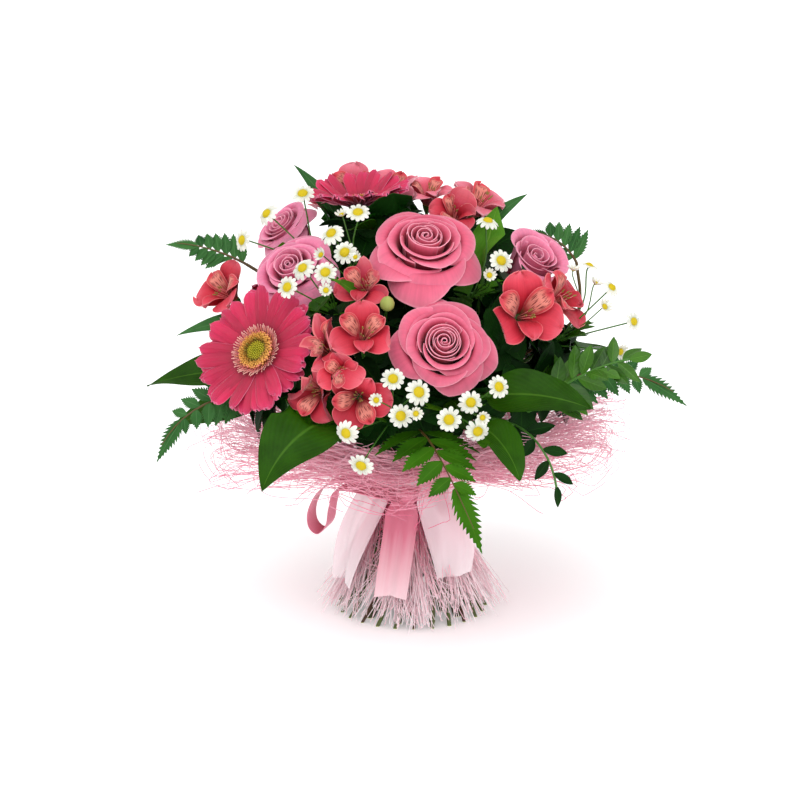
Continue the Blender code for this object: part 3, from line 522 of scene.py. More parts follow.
def add(tree, kind, inputs=(), stops=(), **settings):
    """Adds a node with its settings, what goes into its sockets, and its ramp's stops."""
    node = tree.nodes.new("ShaderNode" + kind)
    for name, value in settings.items():
        setattr(node, name, value)
    for socket, value in dict(inputs).items():
        if isinstance(value, bpy.types.NodeSocket):
            tree.links.new(value, node.inputs[socket])
        else:
            node.inputs[socket].default_value = value
    if stops:
        ramp = node.color_ramp.elements
        ramp[0].position, ramp[0].color = stops[0][0], colour(stops[0][1])
        ramp[1].position, ramp[1].color = stops[-1][0], colour(stops[-1][1])
        for position, code in stops[1:-1]:
            ramp.new(position).color = colour(code)
    return node.outputs


def finish(name, **values):
    """A new material, its node tree, and its shader with the values that are the same all over."""
    made = bpy.data.materials.new(name)
    made.use_nodes = True
    tree = made.node_tree
    shader = tree.nodes["Principled BSDF"]
    for socket, value in values.items():
        shader.inputs[socket.replace("_", " ").title().replace("Ior", "IOR")].default_value = value
    return made, tree, shader.inputs


# How often the mottles of a finish come to the metre: 8 mm, 17 mm and 4 mm apart.
PETAL_MOTTLES = 130.0
LEAF_MOTTLES = 60.0
BARK_MOTTLES = 260.0
# A petal is velvety and a little translucent, so light reddens in it.
PETAL = {
    "roughness": 0.55, "subsurface_weight": 0.16, "subsurface_radius": (1.0, 0.4, 0.4),
    "subsurface_scale": 0.003, "sheen_weight": 0.12, "sheen_roughness": 0.5, "specular_ior_level": 0.3,
}


def blade_place(tree):
    """The UV map of a petal or leaf, and its two parts: from edge to edge, and from foot to tip."""
    flat = add(tree, "TexCoord")["UV"]
    across, along = list(add(tree, "SeparateXYZ", {0: flat}))[:2]
    return flat, across, along


def from_midrib(tree, across):
    """How far a place is from the midrib: 0 on it, and 0.5 at the edge."""
    off = add(tree, "Math", {0: across, 1: -0.5}, operation="ADD")[0]
    return add(tree, "Math", {0: off}, operation="ABSOLUTE")[0]


def coated(tree, shader, body, strength, depth, height, **settings):
    """Gives the shader its colour, and a relief of this strength and this depth in metres."""
    tree.links.new(body, shader["Base Color"])
    bump = add(tree, "Bump", {0: strength, 1: depth, "Height": height}, **settings)[0]
    tree.links.new(bump, shader["Normal"])


def petal_skin(name, stops, edge, groove=0.12, streaks=34.0, **values):
    """Petal skin: coloured from its claw to its lip, with veins, a soft glow and a pale edge that is
    partly the petal's own paler rim and partly a painted highlight.

    The edge has a colour, where it starts and how strong it is. The streaks count the veins across a
    petal, so they lie 1.5 mm apart on a rose, 0.9 mm on a tepal and 0.3 mm on a feverfew ray.
    """
    made, tree, shader = finish(name, **(PETAL | values))
    flat, across, along = blade_place(tree)
    tone = add(tree, "Attribute", attribute_name="tone")["Fac"]
    body = add(tree, "ValToRGB", {0: along}, stops)[0]
    stretched = add(tree, "Mapping", {0: flat, 3: (streaks, 1.6, 1.0)})[0]
    shifted = add(tree, "VectorMath", {0: stretched, 1: tone}, operation="ADD")[0]
    veins = add(tree, "TexNoise", {0: shifted, 2: 1.0, 3: 3.0})[0]
    blotches = add(tree, "TexNoise", {0: add(tree, "TexCoord")["Object"], 2: PETAL_MOTTLES, 3: 3.0})[0]
    shade = add(tree, "MapRange", {0: tone, 3: 0.86, 4: 1.10})[0]
    veined = add(tree, "MapRange", {0: veins, 1: 0.3, 2: 0.7, 3: 0.93, 4: 1.06})[0]
    mottled = add(tree, "MapRange", {0: blotches, 1: 0.3, 2: 0.7, 3: 0.95, 4: 1.05})[0]
    light = add(tree, "Math", {0: shade, 1: veined}, operation="MULTIPLY")[0]
    light = add(tree, "Math", {0: light, 1: mottled}, operation="MULTIPLY")[0]
    body = add(tree, "HueSaturation", {2: light, 4: body})[0]
    # The pale edge: partly the petal's own paler rim, partly a painted highlight along it.
    off = add(tree, "Math", {0: across, 1: 2.0, 2: -1.0}, operation="MULTIPLY_ADD")[0]
    rim = add(tree, "Math", {0: off}, operation="ABSOLUTE")[0]
    rim = add(tree, "Math", {0: rim, 1: along}, operation="MAXIMUM")[0]
    rim = add(tree, "MapRange", {0: rim, 1: edge[1], 2: 1.0, 3: 0.0, 4: edge[2]})[0]
    body = add(tree, "Mix", {0: rim, 6: body, 7: colour(edge[0])}, data_type="RGBA")[2]
    coated(tree, shader, body, groove, 0.0006, veins)
    return made, tree, body


def tepal_stripes(name, stops, edge, pale, dark):
    """Inner alstroemeria petals: a paler patch, with dark dashes of 4 mm that run along the veins."""
    made, tree, body = petal_skin(name, stops, edge)
    flat, across, along = blade_place(tree)
    off = from_midrib(tree, across)
    wide = add(tree, "MapRange", {0: off, 1: 0.46, 2: 0.26}, interpolation_type="SMOOTHSTEP")[0]
    start = add(tree, "MapRange", {0: along, 1: 0.16, 2: 0.32}, interpolation_type="SMOOTHSTEP")[0]
    end = add(tree, "MapRange", {0: along, 1: 0.80, 2: 0.55}, interpolation_type="SMOOTHSTEP")[0]
    patch = add(tree, "Math", {0: start, 1: end}, operation="MULTIPLY")[0]
    patch = add(tree, "Math", {0: patch, 1: wide}, operation="MULTIPLY")[0]
    light = add(tree, "Math", {0: patch, 1: 0.75}, operation="MULTIPLY")[0]
    base = add(tree, "Mix", {0: light, 6: body, 7: colour(pale)}, data_type="RGBA")[2]
    cells = add(tree, "Mapping", {0: flat, 3: (20.0, 5.4, 1.0)})[0]
    dashes = add(tree, "TexVoronoi", {0: cells, 2: 1.0, "Randomness": 0.6})[0]
    dashes = add(tree, "MapRange", {0: dashes, 1: 0.52, 2: 0.34})[0]
    dashes = add(tree, "Math", {0: dashes, 1: patch}, operation="MULTIPLY")[0]
    base = add(tree, "Mix", {0: dashes, 6: base, 7: colour(dark)}, data_type="RGBA")[2]
    tree.links.new(base, tree.nodes["Principled BSDF"].inputs["Base Color"])
    return made


def leaf_skin(name, deep, mid, rib, veins, slant, gloss=0.36, shine=0.07):
    """Waxy leaf: a lighter midrib, side veins that slant forward, and a broken gloss.

    The veins count those from foot to tip, in radians. They lie 4 mm apart on a broad leaf and 2 mm
    on a leaflet, where the real ones are finer, so that they show.
    """
    made, tree, shader = finish(
        name, roughness=gloss, specular_ior_level=shine,
        subsurface_weight=0.06, subsurface_radius=(0.4, 1.0, 0.2), subsurface_scale=0.002,
    )
    _, across, along = blade_place(tree)
    tone = add(tree, "Attribute", attribute_name="tone")["Fac"]
    off = from_midrib(tree, across)
    slanted = add(tree, "Math", {0: off, 1: -slant, 2: along}, operation="MULTIPLY_ADD")[0]
    run = add(tree, "Math", {0: slanted, 1: veins}, operation="MULTIPLY")[0]
    if slant == 0.0:
        # A broad leaf's veins run nearly along its rib.
        fine = add(tree, "Math", {0: off, 1: 70.0}, operation="MULTIPLY")[0]
        run = add(tree, "Math", {0: run, 1: fine}, operation="ADD")[0]
    ribs = add(tree, "Math", {0: run}, operation="SINE")[0]
    blotches = add(tree, "TexNoise", {0: add(tree, "TexCoord")["Object"], 2: LEAF_MOTTLES, 3: 4.0})[0]
    share = add(tree, "Math", {0: tone, 1: 0.55, 2: blotches}, operation="MULTIPLY_ADD")[0]
    share = add(tree, "Math", {0: ribs, 1: 0.025, 2: share}, operation="MULTIPLY_ADD")[0]
    body = add(tree, "ValToRGB", {0: share}, [(0.25, deep), (1.0, mid)])[0]
    middle = add(tree, "MapRange", {0: off, 1: 0.03, 2: 0.010, 3: 0.0, 4: 0.5})[0]
    body = add(tree, "Mix", {0: middle, 6: body, 7: colour(rib)}, data_type="RGBA")[2]
    raised = add(tree, "Math", {0: middle, 1: 2.0, 2: ribs}, operation="MULTIPLY_ADD")[0]
    coated(tree, shader, body, 0.12, 0.0004, raised)
    return made


def stalk_skin(name, low, high, gloss=0.5):
    """Stalk bark: brown-green and mottled low down, fresher higher up, and pale where it is cut."""
    made, tree, shader = finish(name, roughness=gloss, specular_ior_level=0.4)
    place = add(tree, "TexCoord")["Object"]
    height = add(tree, "SeparateXYZ", {0: place})[2]
    long = add(tree, "Mapping", {0: place, 3: (1.0, 1.0, 0.3)})[0]
    noise = add(tree, "TexNoise", {0: long, 2: BARK_MOTTLES, 3: 5.0})[0]
    share = add(tree, "MapRange", {0: height, 1: 0.0, 2: 0.16, 3: -0.1, 4: 0.6})[0]
    share = add(tree, "Math", {0: noise, 1: 0.7, 2: share}, operation="MULTIPLY_ADD")[0]
    body = add(tree, "ValToRGB", {0: share}, [(0.15, low), (0.9, high)])[0]
    cut = add(tree, "MapRange", {0: height, 1: 0.0006, 2: 0.0002})[0]
    body = add(tree, "Mix", {0: cut, 6: body, 7: colour("B9C48A")}, data_type="RGBA")[2]
    coated(tree, shader, body, 0.3, 0.0004, noise)
    return made


def by_share(name, attribute, stops, scale, depth=0.0008, gloss=0.6, **values):
    """Small flower parts coloured by where they grow in the head, with so many grains to the metre."""
    made, tree, shader = finish(name, roughness=gloss, specular_ior_level=0.3, **values)
    share = add(tree, "Attribute", attribute_name=attribute)["Fac"]
    grains = add(tree, "TexVoronoi", {0: add(tree, "TexCoord")["Object"], 2: scale})[0]
    share = add(tree, "Math", {0: grains, 1: 0.10, 2: share}, operation="MULTIPLY_ADD")[0]
    body = add(tree, "ValToRGB", {0: share}, stops)[0]
    coated(tree, shader, body, 0.5, depth, grains, invert=True)
    return made


def sisal_fibre(name, lower, upper, low, high):
    """Dyed sisal: dull fibres, each of its own pink, between a lower and an upper colour."""
    made, tree, shader = finish(name, roughness=0.75, specular_ior_level=0.2, sheen_weight=0.2,
                                subsurface_weight=0.4, subsurface_radius=(1.0, 0.7, 0.75),
                                subsurface_scale=0.003)
    height = add(tree, "SeparateXYZ", {0: add(tree, "TexCoord")["Object"]})[2]
    single = add(tree, "NewGeometry")["Random Per Island"]
    share = add(tree, "MapRange", {0: height, 1: low, 2: high})[0]
    share = add(tree, "Math", {0: single, 1: 0.55, 2: share}, operation="MULTIPLY_ADD")[0]
    body = add(tree, "ValToRGB", {0: share}, [(0.1, lower), (1.1, upper)])[0]
    tree.links.new(body, shader["Base Color"])
    return made


def ribbon_cloth(name, top, low, threads, **values):
    """Ribbon: fine threads, painted shade along soft folds, and a colour that fades towards the tail's
    end.

    The threads lie about 0.2 mm apart in satin and 0.1 mm in organza, as real ones do.
    """
    made, tree, shader = finish(name, **values)
    flat = add(tree, "TexCoord")["UV"]
    height = add(tree, "SeparateXYZ", {0: add(tree, "TexCoord")["Object"]})[2]
    share = add(tree, "MapRange", {0: height, 1: 0.015, 2: 0.085})[0]
    long = add(tree, "Mapping", {0: flat, 3: (5.0, 0.6, 1.0)})[0]
    # Painted shade: a soft noise along the ribbon moves its colour between its pale and deep ends, as
    # light and shade on folds would.
    painted_fold_shade = add(tree, "TexNoise", {0: long, 2: 1.0})[0]
    share = add(tree, "Math", {0: painted_fold_shade, 1: 0.5, 2: share}, operation="MULTIPLY_ADD")[0]
    body = add(tree, "ValToRGB", {0: share}, [(0.2, low), (1.2, top)])[0]
    weave = add(tree, "TexWave", {0: flat, 1: threads}, wave_type="BANDS", bands_direction="Y")[1]
    coated(tree, shader, body, 0.12, 0.0002, weave)
    return made


def finishes():
    """Every finish of the bouquet, by the name its pieces ask for."""
    rose = ("EFAABA", 0.955, 0.45)
    return {
        # Roses: dusty pink with painted shade that deepens it low in each petal, in the folds of the
        # cup, and a thin pale lip that is partly a painted highlight.
        "rose_warm": petal_skin("dusty_rose_petal", [
            (0.0, "C99A78"), (0.2, "A81E3E"), (0.6, "BE3A58"), (0.85, "D4607C"), (1.0, "DE7C92"),
        ], rose)[0],
        "rose_pale": petal_skin("pale_rose_petal", [
            (0.0, "CDA584"), (0.2, "BE3C62"), (0.6, "D05C82"), (0.85, "DC7C9C"), (1.0, "E692AC"),
        ], rose)[0],
        "rose_mauve": petal_skin("mauve_rose_petal", [
            (0.0, "CDA584"), (0.12, "C65A7C"), (0.5, "CE6888"), (0.85, "DA7A98"), (1.0, "E490AA"),
        ], rose)[0],
        # Gerberas: hot crimson-pink rays, darker at the centre, with pale hairline edges that are
        # partly painted highlights. The disc goes from green buds by a brown ring and orange florets to
        # pale pink filaments.
        "gerbera_ray": petal_skin("crimson_gerbera_ray", [
            (0.0, "6A0820"), (0.3, "A8103A"), (0.7, "BC1848"), (1.0, "C2305E"),
        ], ("E68CAC", 0.93, 0.55), groove=0.3, streaks=14.0)[0],
        "gerbera_disc": by_share("gerbera_disc_floret", "out", [
            (0.0, "949414"), (0.38, "B4A824"), (0.47, "6E5A1E"), (0.54, "AA7426"), (0.72, "D89C4A"),
            (0.82, "CE6468"), (1.0, "ECBCAE"),
        ], 1400.0),
        # Alstroemerias: coral red, thin-skinned and veined, and pink on the upper sprays.
        "tepal": petal_skin("coral_tepal_skin", [
            (0.0, "6E7E2C"), (0.12, "8E1420"), (0.4, "B0182C"), (0.66, "C43648"), (1.0, "D86272"),
        ], ("E88C8A", 0.93, 0.5), groove=0.2, streaks=26.0, sheen_weight=0.05,
            specular_ior_level=0.2)[0],
        "pale_tepal": petal_skin("pale_tepal_skin", [
            (0.0, "8E9A4C"), (0.14, "C05464"), (0.5, "C84A60"), (0.85, "DC7A8C"), (1.0, "E698A8"),
        ], ("EDB4BA", 0.93, 0.5), groove=0.2, streaks=26.0)[0],
        "striped_tepal": tepal_stripes("striped_tepal_skin", [
            (0.0, "6F7F30"), (0.2, "A82834"), (0.6, "BE2A38"), (1.0, "CC4454"),
        ], ("E88C8A", 0.9, 0.5), "D88A7A", "5E0210"),
        "stamen": by_share("stamen_and_anther", "out", [
            (0.0, "E0707A"), (0.5, "E89A92"), (0.7, "6E5A2C"), (1.0, "8A7A3C"),
        ], 1800.0, depth=0.0003),
        # Feverfew: chalk-white rays round a golden button.
        "feverfew_ray": petal_skin("feverfew_ray_skin", [
            (0.0, "B4B88A"), (0.3, "DAD8CC"), (1.0, "E6E4DC"),
        ], ("EAE8E2", 0.9, 0.5), streaks=12.0)[0],
        "feverfew_disc": by_share("feverfew_button", "out", [
            (0.0, "B09800"), (0.6, "CCB400"), (1.0, "9A9A18"),
        ], 1500.0, depth=0.0006),
        # Greens: waxy leaves, from a glossy sprig and broad leaf to dull, leathery fronds.
        "leaf": leaf_skin("glossy_broad_leaf", "0A2200", "264E04", "4A7420", 60.0, 0.0, gloss=0.42),
        "light_leaf": leaf_skin("light_broad_leaf", "2C560E", "4E8220", "7AA040", 60.0, 0.0, gloss=0.5),
        "leaflet": leaf_skin("rose_leaflet", "041404", "10340A", "204A12", 62.0, 0.9, gloss=0.5),
        "sprig": leaf_skin("glossy_sprig_leaf", "0C2E06", "3C6A16", "5C8C34", 40.0, 0.4, gloss=0.34,
                           shine=0.25),
        "fern": leaf_skin("leather_fern_blade", "163802", "34640A", "4A741A", 70.0, 0.7, gloss=0.5),
        "grey_fern": leaf_skin("grey_fern_blade", "18401E", "3A6634", "5A8252", 70.0, 0.7, gloss=0.55),
        # Stalks: brown and water-stained low down, green above.
        "stem": stalk_skin("rose_stalk", "3E3018", "2E5416"),
        "stalk": stalk_skin("green_stalk", "4C5224", "3E7022"),
        "rachis": stalk_skin("fern_rachis", "3E2410", "54401A"),
        "bud": stalk_skin("closed_green_bud", "6E7C34", "9CA654"),
        # The wrap is dull, dyed sisal. Satin is smooth and shines, organza lets the stalks show
        # through, and the jute twine is rough.
        "collar": sisal_fibre("pink_sisal_collar", "D03A66", "F4A6BA", 0.098, 0.150),
        "skirt": sisal_fibre("pink_sisal_skirt", "FFF0F4", "E0587E", 0.026, 0.100),
        "satin": ribbon_cloth("pink_satin", "D6748C", "EEDADE", 150.0, roughness=0.36,
                              sheen_weight=0.25, specular_ior_level=0.5),
        "organza": ribbon_cloth("pale_organza", "FDE4EB", "FFFCFD", 300.0, roughness=0.45, alpha=0.58,
                                sheen_weight=0.3),
        "twine": stalk_skin("jute_twine", "7A5C34", "B08E58", gloss=0.8),
    }


# Building blocks.
def chosen(*pieces):
    """Selects these pieces alone, so that the next operator acts on them."""
    bpy.ops.object.select_all(action="DESELECT")
    for piece in pieces:
        piece.select_set(True)
    bpy.context.view_layer.objects.active = pieces[0]


def joined(pieces):
    """These pieces as one mesh."""
    chosen(*pieces)
    if len(pieces) > 1:
        bpy.ops.object.join()
    return bpy.context.view_layer.objects.active


def taken(piece):
    """A copy of the piece's mesh, without the piece."""
    mesh = piece.data.copy()
    bpy.data.objects.remove(piece)
    return mesh


def flat_sheet(columns, rows):
    """A flat grid, two units wide and long, made once for each count of cells and then copied."""
    key = (columns, rows)
    if key not in MODELS:
        bpy.ops.mesh.primitive_grid_add(x_subdivisions=columns, y_subdivisions=rows, size=2.0)
        MODELS[key] = taken(bpy.context.object)
    return placed(MODELS[key].copy())


def placed(data, place=None):
    """An object of this mesh or curve, with its place in its mesh."""
    if place:
        data.transform(in_metres(place))
    piece = bpy.data.objects.new("piece", data)
    bpy.context.scene.collection.objects.link(piece)
    return piece


def as_mesh(curve):
    """A piece with this curve's shape as its mesh."""
    chosen(placed(curve))
    bpy.ops.object.convert(target="MESH")
    return bpy.context.view_layer.objects.active


def marked(piece, skin, **values):
    """The piece in this finish, with the values that its finish reads."""
    piece.data.materials.clear()
    piece.data.materials.append(SKINS[skin])
    for name, value in values.items():
        layer = piece.data.attributes.new(name, "FLOAT", "POINT")
        layer.data.foreach_set("value", [value] * len(piece.data.vertices))
    return piece


def blade(shape, columns, rows, skin, tone=None):
    """A thin petal or leaf: shape(across, along) gives a point, across -1..1, along 0..1."""
    piece = flat_sheet(columns, rows)
    for vertex in piece.data.vertices:
        vertex.co = shape(vertex.co.x, (vertex.co.y + 1) / 2) * MM
    return marked(piece, skin, tone=random.random() if tone is None else tone)


def crowded(t, power=1.5):
    """Rows of a blade from foot to tip, crowded towards the tip, where it curves most."""
    return 1 - (1 - t) ** power


def blunt(along, start, length, power=2):
    """The share of its width that a blade keeps where it rounds off, from start to its tip."""
    return math.sqrt(max(0.0, 1 - ((along - start) / length) ** power)) if along > start else 1.0


def thickened(pieces, kind, size=1.0):
    """Blades as one mesh with real thickness; points that fall together at a tip are merged."""
    whole = joined(pieces)
    bpy.ops.object.mode_set(mode="EDIT")
    bpy.ops.mesh.select_all(action="SELECT")
    bpy.ops.mesh.remove_doubles(threshold=MERGE_DISTANCE)
    bpy.ops.object.mode_set(mode="OBJECT")
    wall = whole.modifiers.new("wall", "SOLIDIFY")
    wall.thickness = WALLS[kind] * size * MM
    wall.offset = 0.0
    bpy.ops.object.modifier_apply(modifier=wall.name)
    return whole


def tube(points, radii, skin, rounds=2):
    """A round stalk through these points, with closed ends, cut flat where it stands."""
    if not isinstance(radii, list):
        radii = [radii] * len(points)
    curve = bpy.data.curves.new("stalk", "CURVE")
    curve.dimensions = "3D"
    curve.bevel_depth = MM
    curve.bevel_resolution = rounds
    curve.use_fill_caps = True
    spline = curve.splines.new("POLY")
    spline.points.add(len(points) - 1)
    for place, point, radius in zip(spline.points, points, radii):
        place.co = (*(Vector(point) * MM), 1.0)
        place.radius = radius
    piece = as_mesh(curve)
    for vertex in piece.data.vertices:
        vertex.co.z = max(vertex.co.z, 0.0)
    return marked(piece, skin, tone=0.5)


def stalk(path, radius, skin, tip=(), tip_radii=()):
    """A plant's stalk from its cut end up its path, straight as far as the tie, and on to its tip."""
    straight = [path[0].lerp(path[1], share) for share in (0.0, 0.4, 0.8)]
    line = smoothed([*straight, *path[1:]])
    line[0] = line[0].lerp(line[1], 2.0 / (line[1].z - line[0].z))
    return tube([*line, *tip], [radius] * len(line) + list(tip_radii), skin)


def dressed(piece, name, slot, *nodes):
    """A finished piece: smooth, riding with the bouquet, in its nodes' place. Its slot is not used."""
    chosen(piece)
    bpy.ops.object.shade_smooth_by_angle(angle=math.radians(SMOOTH_ANGLE))
    piece.name = piece.data.name = name
    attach(piece, "root")
    if nodes:
        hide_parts(*nodes)
    return piece


def kept_clear(piece, margin, owner=None):
    """Moves the piece's points out of the heads' ellipsoids, all at once."""
    count = len(piece.data.vertices)
    flat = np.empty(count * 3)
    piece.data.vertices.foreach_get("co", flat)
    points = flat.reshape(count, 3) / MM
    for _ in range(CLEAR_ROUNDS):
        for name, centre, axis, radius, half in ROOM:
            if owner and name.startswith(owner):
                continue
            offset = points - np.array(centre)
            deep = offset @ np.array(axis)
            side = np.linalg.norm(offset - deep[:, None] * np.array(axis), axis=1)
            share = np.hypot(side / (radius + margin), deep / (half + margin))
            inside = (share > AT_CENTRE) & (share < 1.0)
            points[inside] = np.array(centre) + offset[inside] / share[inside, None]
    piece.data.vertices.foreach_set("co", (points * MM).ravel())
    piece.data.update()
    return piece


# Roses. From the heart to the rim: a share, and a petal's profile there, as radius and height.
PETAL_GUIDES = [
    (0.0, ((1.4, 4.0), (5.5, 12.0), (5.0, 30.0), (1.0, 38.0))),
    (0.15, ((2.5, 2.0), (8.5, 8.0), (7.0, 28.0), (6.6, 39.5))),
    (0.30, ((3.5, 0.5), (11.0, 5.0), (10.0, 31.0), (12.8, 39.8))),
    (0.45, ((5.0, 0.0), (14.0, 3.0), (12.5, 37.0), (19.0, 38.5))),
    (0.68, ((6.0, 0.0), (19.0, 0.0), (15.5, 43.0), (28.0, 34.0))),
    (1.0, ((6.0, 0.0), (24.0, -3.0), (19.0, 44.0), (38.0, 25.0))),
]
# From the rim inwards: how far out a ring's petals sit, and how many there are.
PETAL_RINGS = ((0.88, 1.0, 5), (0.66, 0.80, 5), (0.38, 0.56, 5))
HALF_OPEN_RINGS = ((0.84, 1.0, 4), (0.46, 0.60, 3))
# A bloom with more petals than this is fully open.
HALF_OPEN_PETALS = 20
HEART_SHARE = 0.30


def petal_shares(count):
    """How far out each petal sits: a tight spiral at the heart, then rings of broad petals."""
    rings = PETAL_RINGS if count > HALF_OPEN_PETALS else HALF_OPEN_RINGS
    inner = count - sum(number for _, _, number in rings)
    shares = [HEART_SHARE * number / (inner - 1) for number in range(inner)]
    for low, high, number in reversed(rings):
        shares += [low + (high - low) * i / (number - 1) for i in range(number)]
    return shares


def petal_guide(share):
    """The four guide points of a petal's profile at this share of the way to the rim."""
    for (low, inner), (high, outer) in zip(PETAL_GUIDES, PETAL_GUIDES[1:]):
        if share <= high:
            t = (share - low) / (high - low)
            return [Vector((*a, 0)).lerp(Vector((*b, 0)), t) for a, b in zip(inner, outer)]
    return [Vector((*point, 0)) for point in PETAL_GUIDES[-1][1]]


def rose_petal(number, share, spec, cells, place):
    """A petal that wraps the heart; the outer ones roll their lips back to a soft corner."""
    share *= spec["open"]
    guide = petal_guide(share)
    middle = math.radians(PETAL_TURN * number + random.uniform(-8, 8))
    wide = math.radians(170 if number == 0 else 112 - 60 * share)
    phase = random.uniform(0, 2 * math.pi)
    roll = (0.3 + 3.4 * share) * random.uniform(0.5, 1.5)
    corner = random.uniform(-0.35, 0.35)
    stretch = random.uniform(0.97, 1.03)
    lean = random.uniform(-0.05, 0.05) * share
    stand = random.gauss(0, 0.8)
    tuck = 0.9 if number == 0 else 0.6 + 2.4 * share

    def shape(across, t):
        along = crowded(t, 1.45)
        high = along * (1 - (0.05 + 0.13 * share) * abs(across) ** 2.4)
        profile = bezier(guide, high)
        off = abs(across - corner)
        lip = max(0.0, (high - 0.80) / 0.20)
        radius = profile.x * stretch + tuck * across + roll * 0.7 * lip * (1 - 0.5 * off)
        radius -= 7.0 * share * share * off * along**2
        radius += (0.35 + 0.9 * share) * math.sin(2.4 * across + phase) * along**2
        height = profile.y + spec["lift"] * share * along**2 - roll * lip**1.8 * (0.3 + 0.9 * off)
        height += 0.9 * share * math.sin(3.6 * across + phase) * along**3
        height += stand * along - 1.5 * share * max(0.0, 1 - off / 0.22) * lip
        angle = middle + across * wide * min(1.0, 0.40 + 1.4 * along)
        local = Vector((radius * math.cos(angle), radius * math.sin(angle), height + radius * lean))
        return place @ (local * spec["size"])

    return blade(shape, *cells, f"rose_{spec['tint']}", tone=random.uniform(0.2, 0.9))


def sepal(number, base, side):
    """One of the five narrow leaves under a bloom, which hangs down from its hip."""
    turn = side @ Matrix.Rotation(2 * math.pi * number / 5, 4, "Z")

    def shape(across, along):
        reach = 4.0 + 17.0 * along
        half = 3.2 * (1 - along) ** 0.7 * min(1.0, 0.4 + 3 * along)
        return base + turn @ Vector((reach, across * half, -3.0 - 9.0 * along**1.5 + abs(across)))

    return blade(shape, 2, 6, "leaflet")


def rose(name, spec, path):
    """A bloom, turned about its middle to the way it is shown, and its stalk with hip and sepals."""
    size = spec["size"]
    axis = polar(*spec["shown"], 1.0)
    base = bloom_middle(spec) - axis * (ROSE_HEIGHT * BLOOM_BELOW * size - spec["rise"])
    place = standing(base, axis, spec["spin"])
    cells = (20, 15) if size >= 1.0 else (14, 12)
    shares = petal_shares(spec["petals"])
    petals = [rose_petal(number, share, spec, cells, place) for number, share in enumerate(shares)]
    dressed(thickened(petals, "rose", size), f"{name}_rose", "rose_petal", f"rose_{name}_bloom")

    hip = [base - axis * 5.0, base]
    green = [stalk(path, ROSE_STEM, "stem", hip, [7.0, 6.0])]
    side = frame_along(axis, 15.0)
    green.append(thickened([sepal(number, base, side) for number in range(5)], "sepal"))
    dressed(joined(green), f"{name}_rose_stalk", "stem", f"rose_{name}_stem")


# Gerberas. The rays have two layers, the upper one first.
DISC_FLORETS = 440
DISC_RADIUS = 15.6
RAY_FOOT = 8
RAY_REACH = (45.5, 43.5)
RAY_HALF = (5.5, 5.4)
# A gerbera that is cupped more than this is seen from its side: its far rays stand up.
STEEP_CUP = 9


def gerbera_ray(number, count, layer, size, cup, place):
    """A long strap with three soft grooves and a blunt tip."""
    angle = 2 * math.pi * (number + 0.5 * layer + random.uniform(-0.28, 0.28)) / count
    reach = RAY_REACH[layer] * random.uniform(0.94, 1.03)
    wide = RAY_HALF[layer] * random.uniform(0.9, 1.08)
    droop, twist = random.uniform(-3.0, 3.5), random.uniform(-0.6, 0.6)
    out, side = spoke(angle)
    far = (place.to_3x3() @ out).y if cup > STEEP_CUP else 0.0

    def shape(across, t):
        along = crowded(t)
        radius = RAY_FOOT + (reach - RAY_FOOT) * along
        half = wide * (0.42 + 0.58 * math.sin(math.pi * (0.08 + 0.62 * along)))
        half *= blunt(along, 0.84, 0.162)
        height = -3.2 - 1.5 * layer + cup * math.sin(1.45 * along) - droop * along * along
        height += (0.4 * math.cos(3 * math.pi * across) - 1.9 * across * across) * min(1.0, 2 * along)
        height += twist * half * across * along
        height += (14.0 * max(0.0, far) + 5.0 * max(0.0, -far)) * along**1.5
        radius += 0.5 * math.cos(2 * math.pi * across) * along**6
        return place @ ((out * radius + side * across * half + Vector((0, 0, height))) * size)

    return blade(shape, 6, 9, "gerbera_ray", tone=random.uniform(-0.5, 1.5))


def knob(key, radius, tip, depth, sides=5):
    """A little bud: a cone of few faces, made once for each kind and then copied."""
    if key not in MODELS:
        bpy.ops.mesh.primitive_cone_add(vertices=sides, radius1=radius * MM, radius2=tip * MM,
                                        depth=depth * MM, end_fill_type="NGON")
        MODELS[key] = taken(bpy.context.object)
    return MODELS[key].copy()


def gerbera_disc(name, size, place):
    """The centre: green buds, then orange florets, then a fringe of pink filaments, in a spiral.

    Each of them is a knob with a name, two radii and a length.
    """
    pieces = []
    for number in range(DISC_FLORETS):
        share = math.sqrt((number + 0.5) / DISC_FLORETS)
        reach = DISC_RADIUS * share
        angle = math.radians(DISC_TURN * number)
        spot = Vector((reach * math.cos(angle), reach * math.sin(angle), 0)) * size
        wild = Vector((random.uniform(-1, 1), random.uniform(-1, 1), 0)) * 0.3
        if share < 0.46:
            kind, lean, rise = ("bud", 0.75, 0.55, 2.6), 0.25 * share, 2.4 - 4.0 * share * share
        elif share < 0.78:
            kind, lean = ("floret", 0.50, 0.80, 4.4), 0.55 * share
            rise = 1.9 + random.uniform(-0.5, 0.5)
        else:
            kind, lean, rise = ("filament", 0.42, 0.30, 6.4), 1.15 * share, 1.8
        out = Vector((math.cos(angle), math.sin(angle), 0)) + wild
        way = (out * lean + Vector((0, 0, 1))).normalized()
        mesh = knob(*kind)
        mesh.transform(Matrix.Scale(size, 4))
        middle = spot + Vector((0, 0, rise - 1.5)) * size + way * kind[3] * 0.2
        spot = place @ standing(middle, way, random.uniform(0, 90))
        tint = share - 0.04 + random.uniform(-0.035, 0.035)
        pieces.append(marked(placed(mesh, spot), "gerbera_disc", out=tint))
    bpy.ops.mesh.primitive_uv_sphere_add(segments=24, ring_count=10, radius=1.0)
    seat = bpy.context.object
    for vertex in seat.data.vertices:
        flatter = Vector((vertex.co.x * 12.5, vertex.co.y * 12.5, vertex.co.z * 2.2 - 1.6))
        vertex.co = (place @ (flatter * size)) * MM
    pieces.append(marked(seat, "gerbera_disc", out=0.5))
    dressed(joined(pieces), f"{name}_gerbera_centre", "gerbera_disc", f"gerbera_{name}_disc")


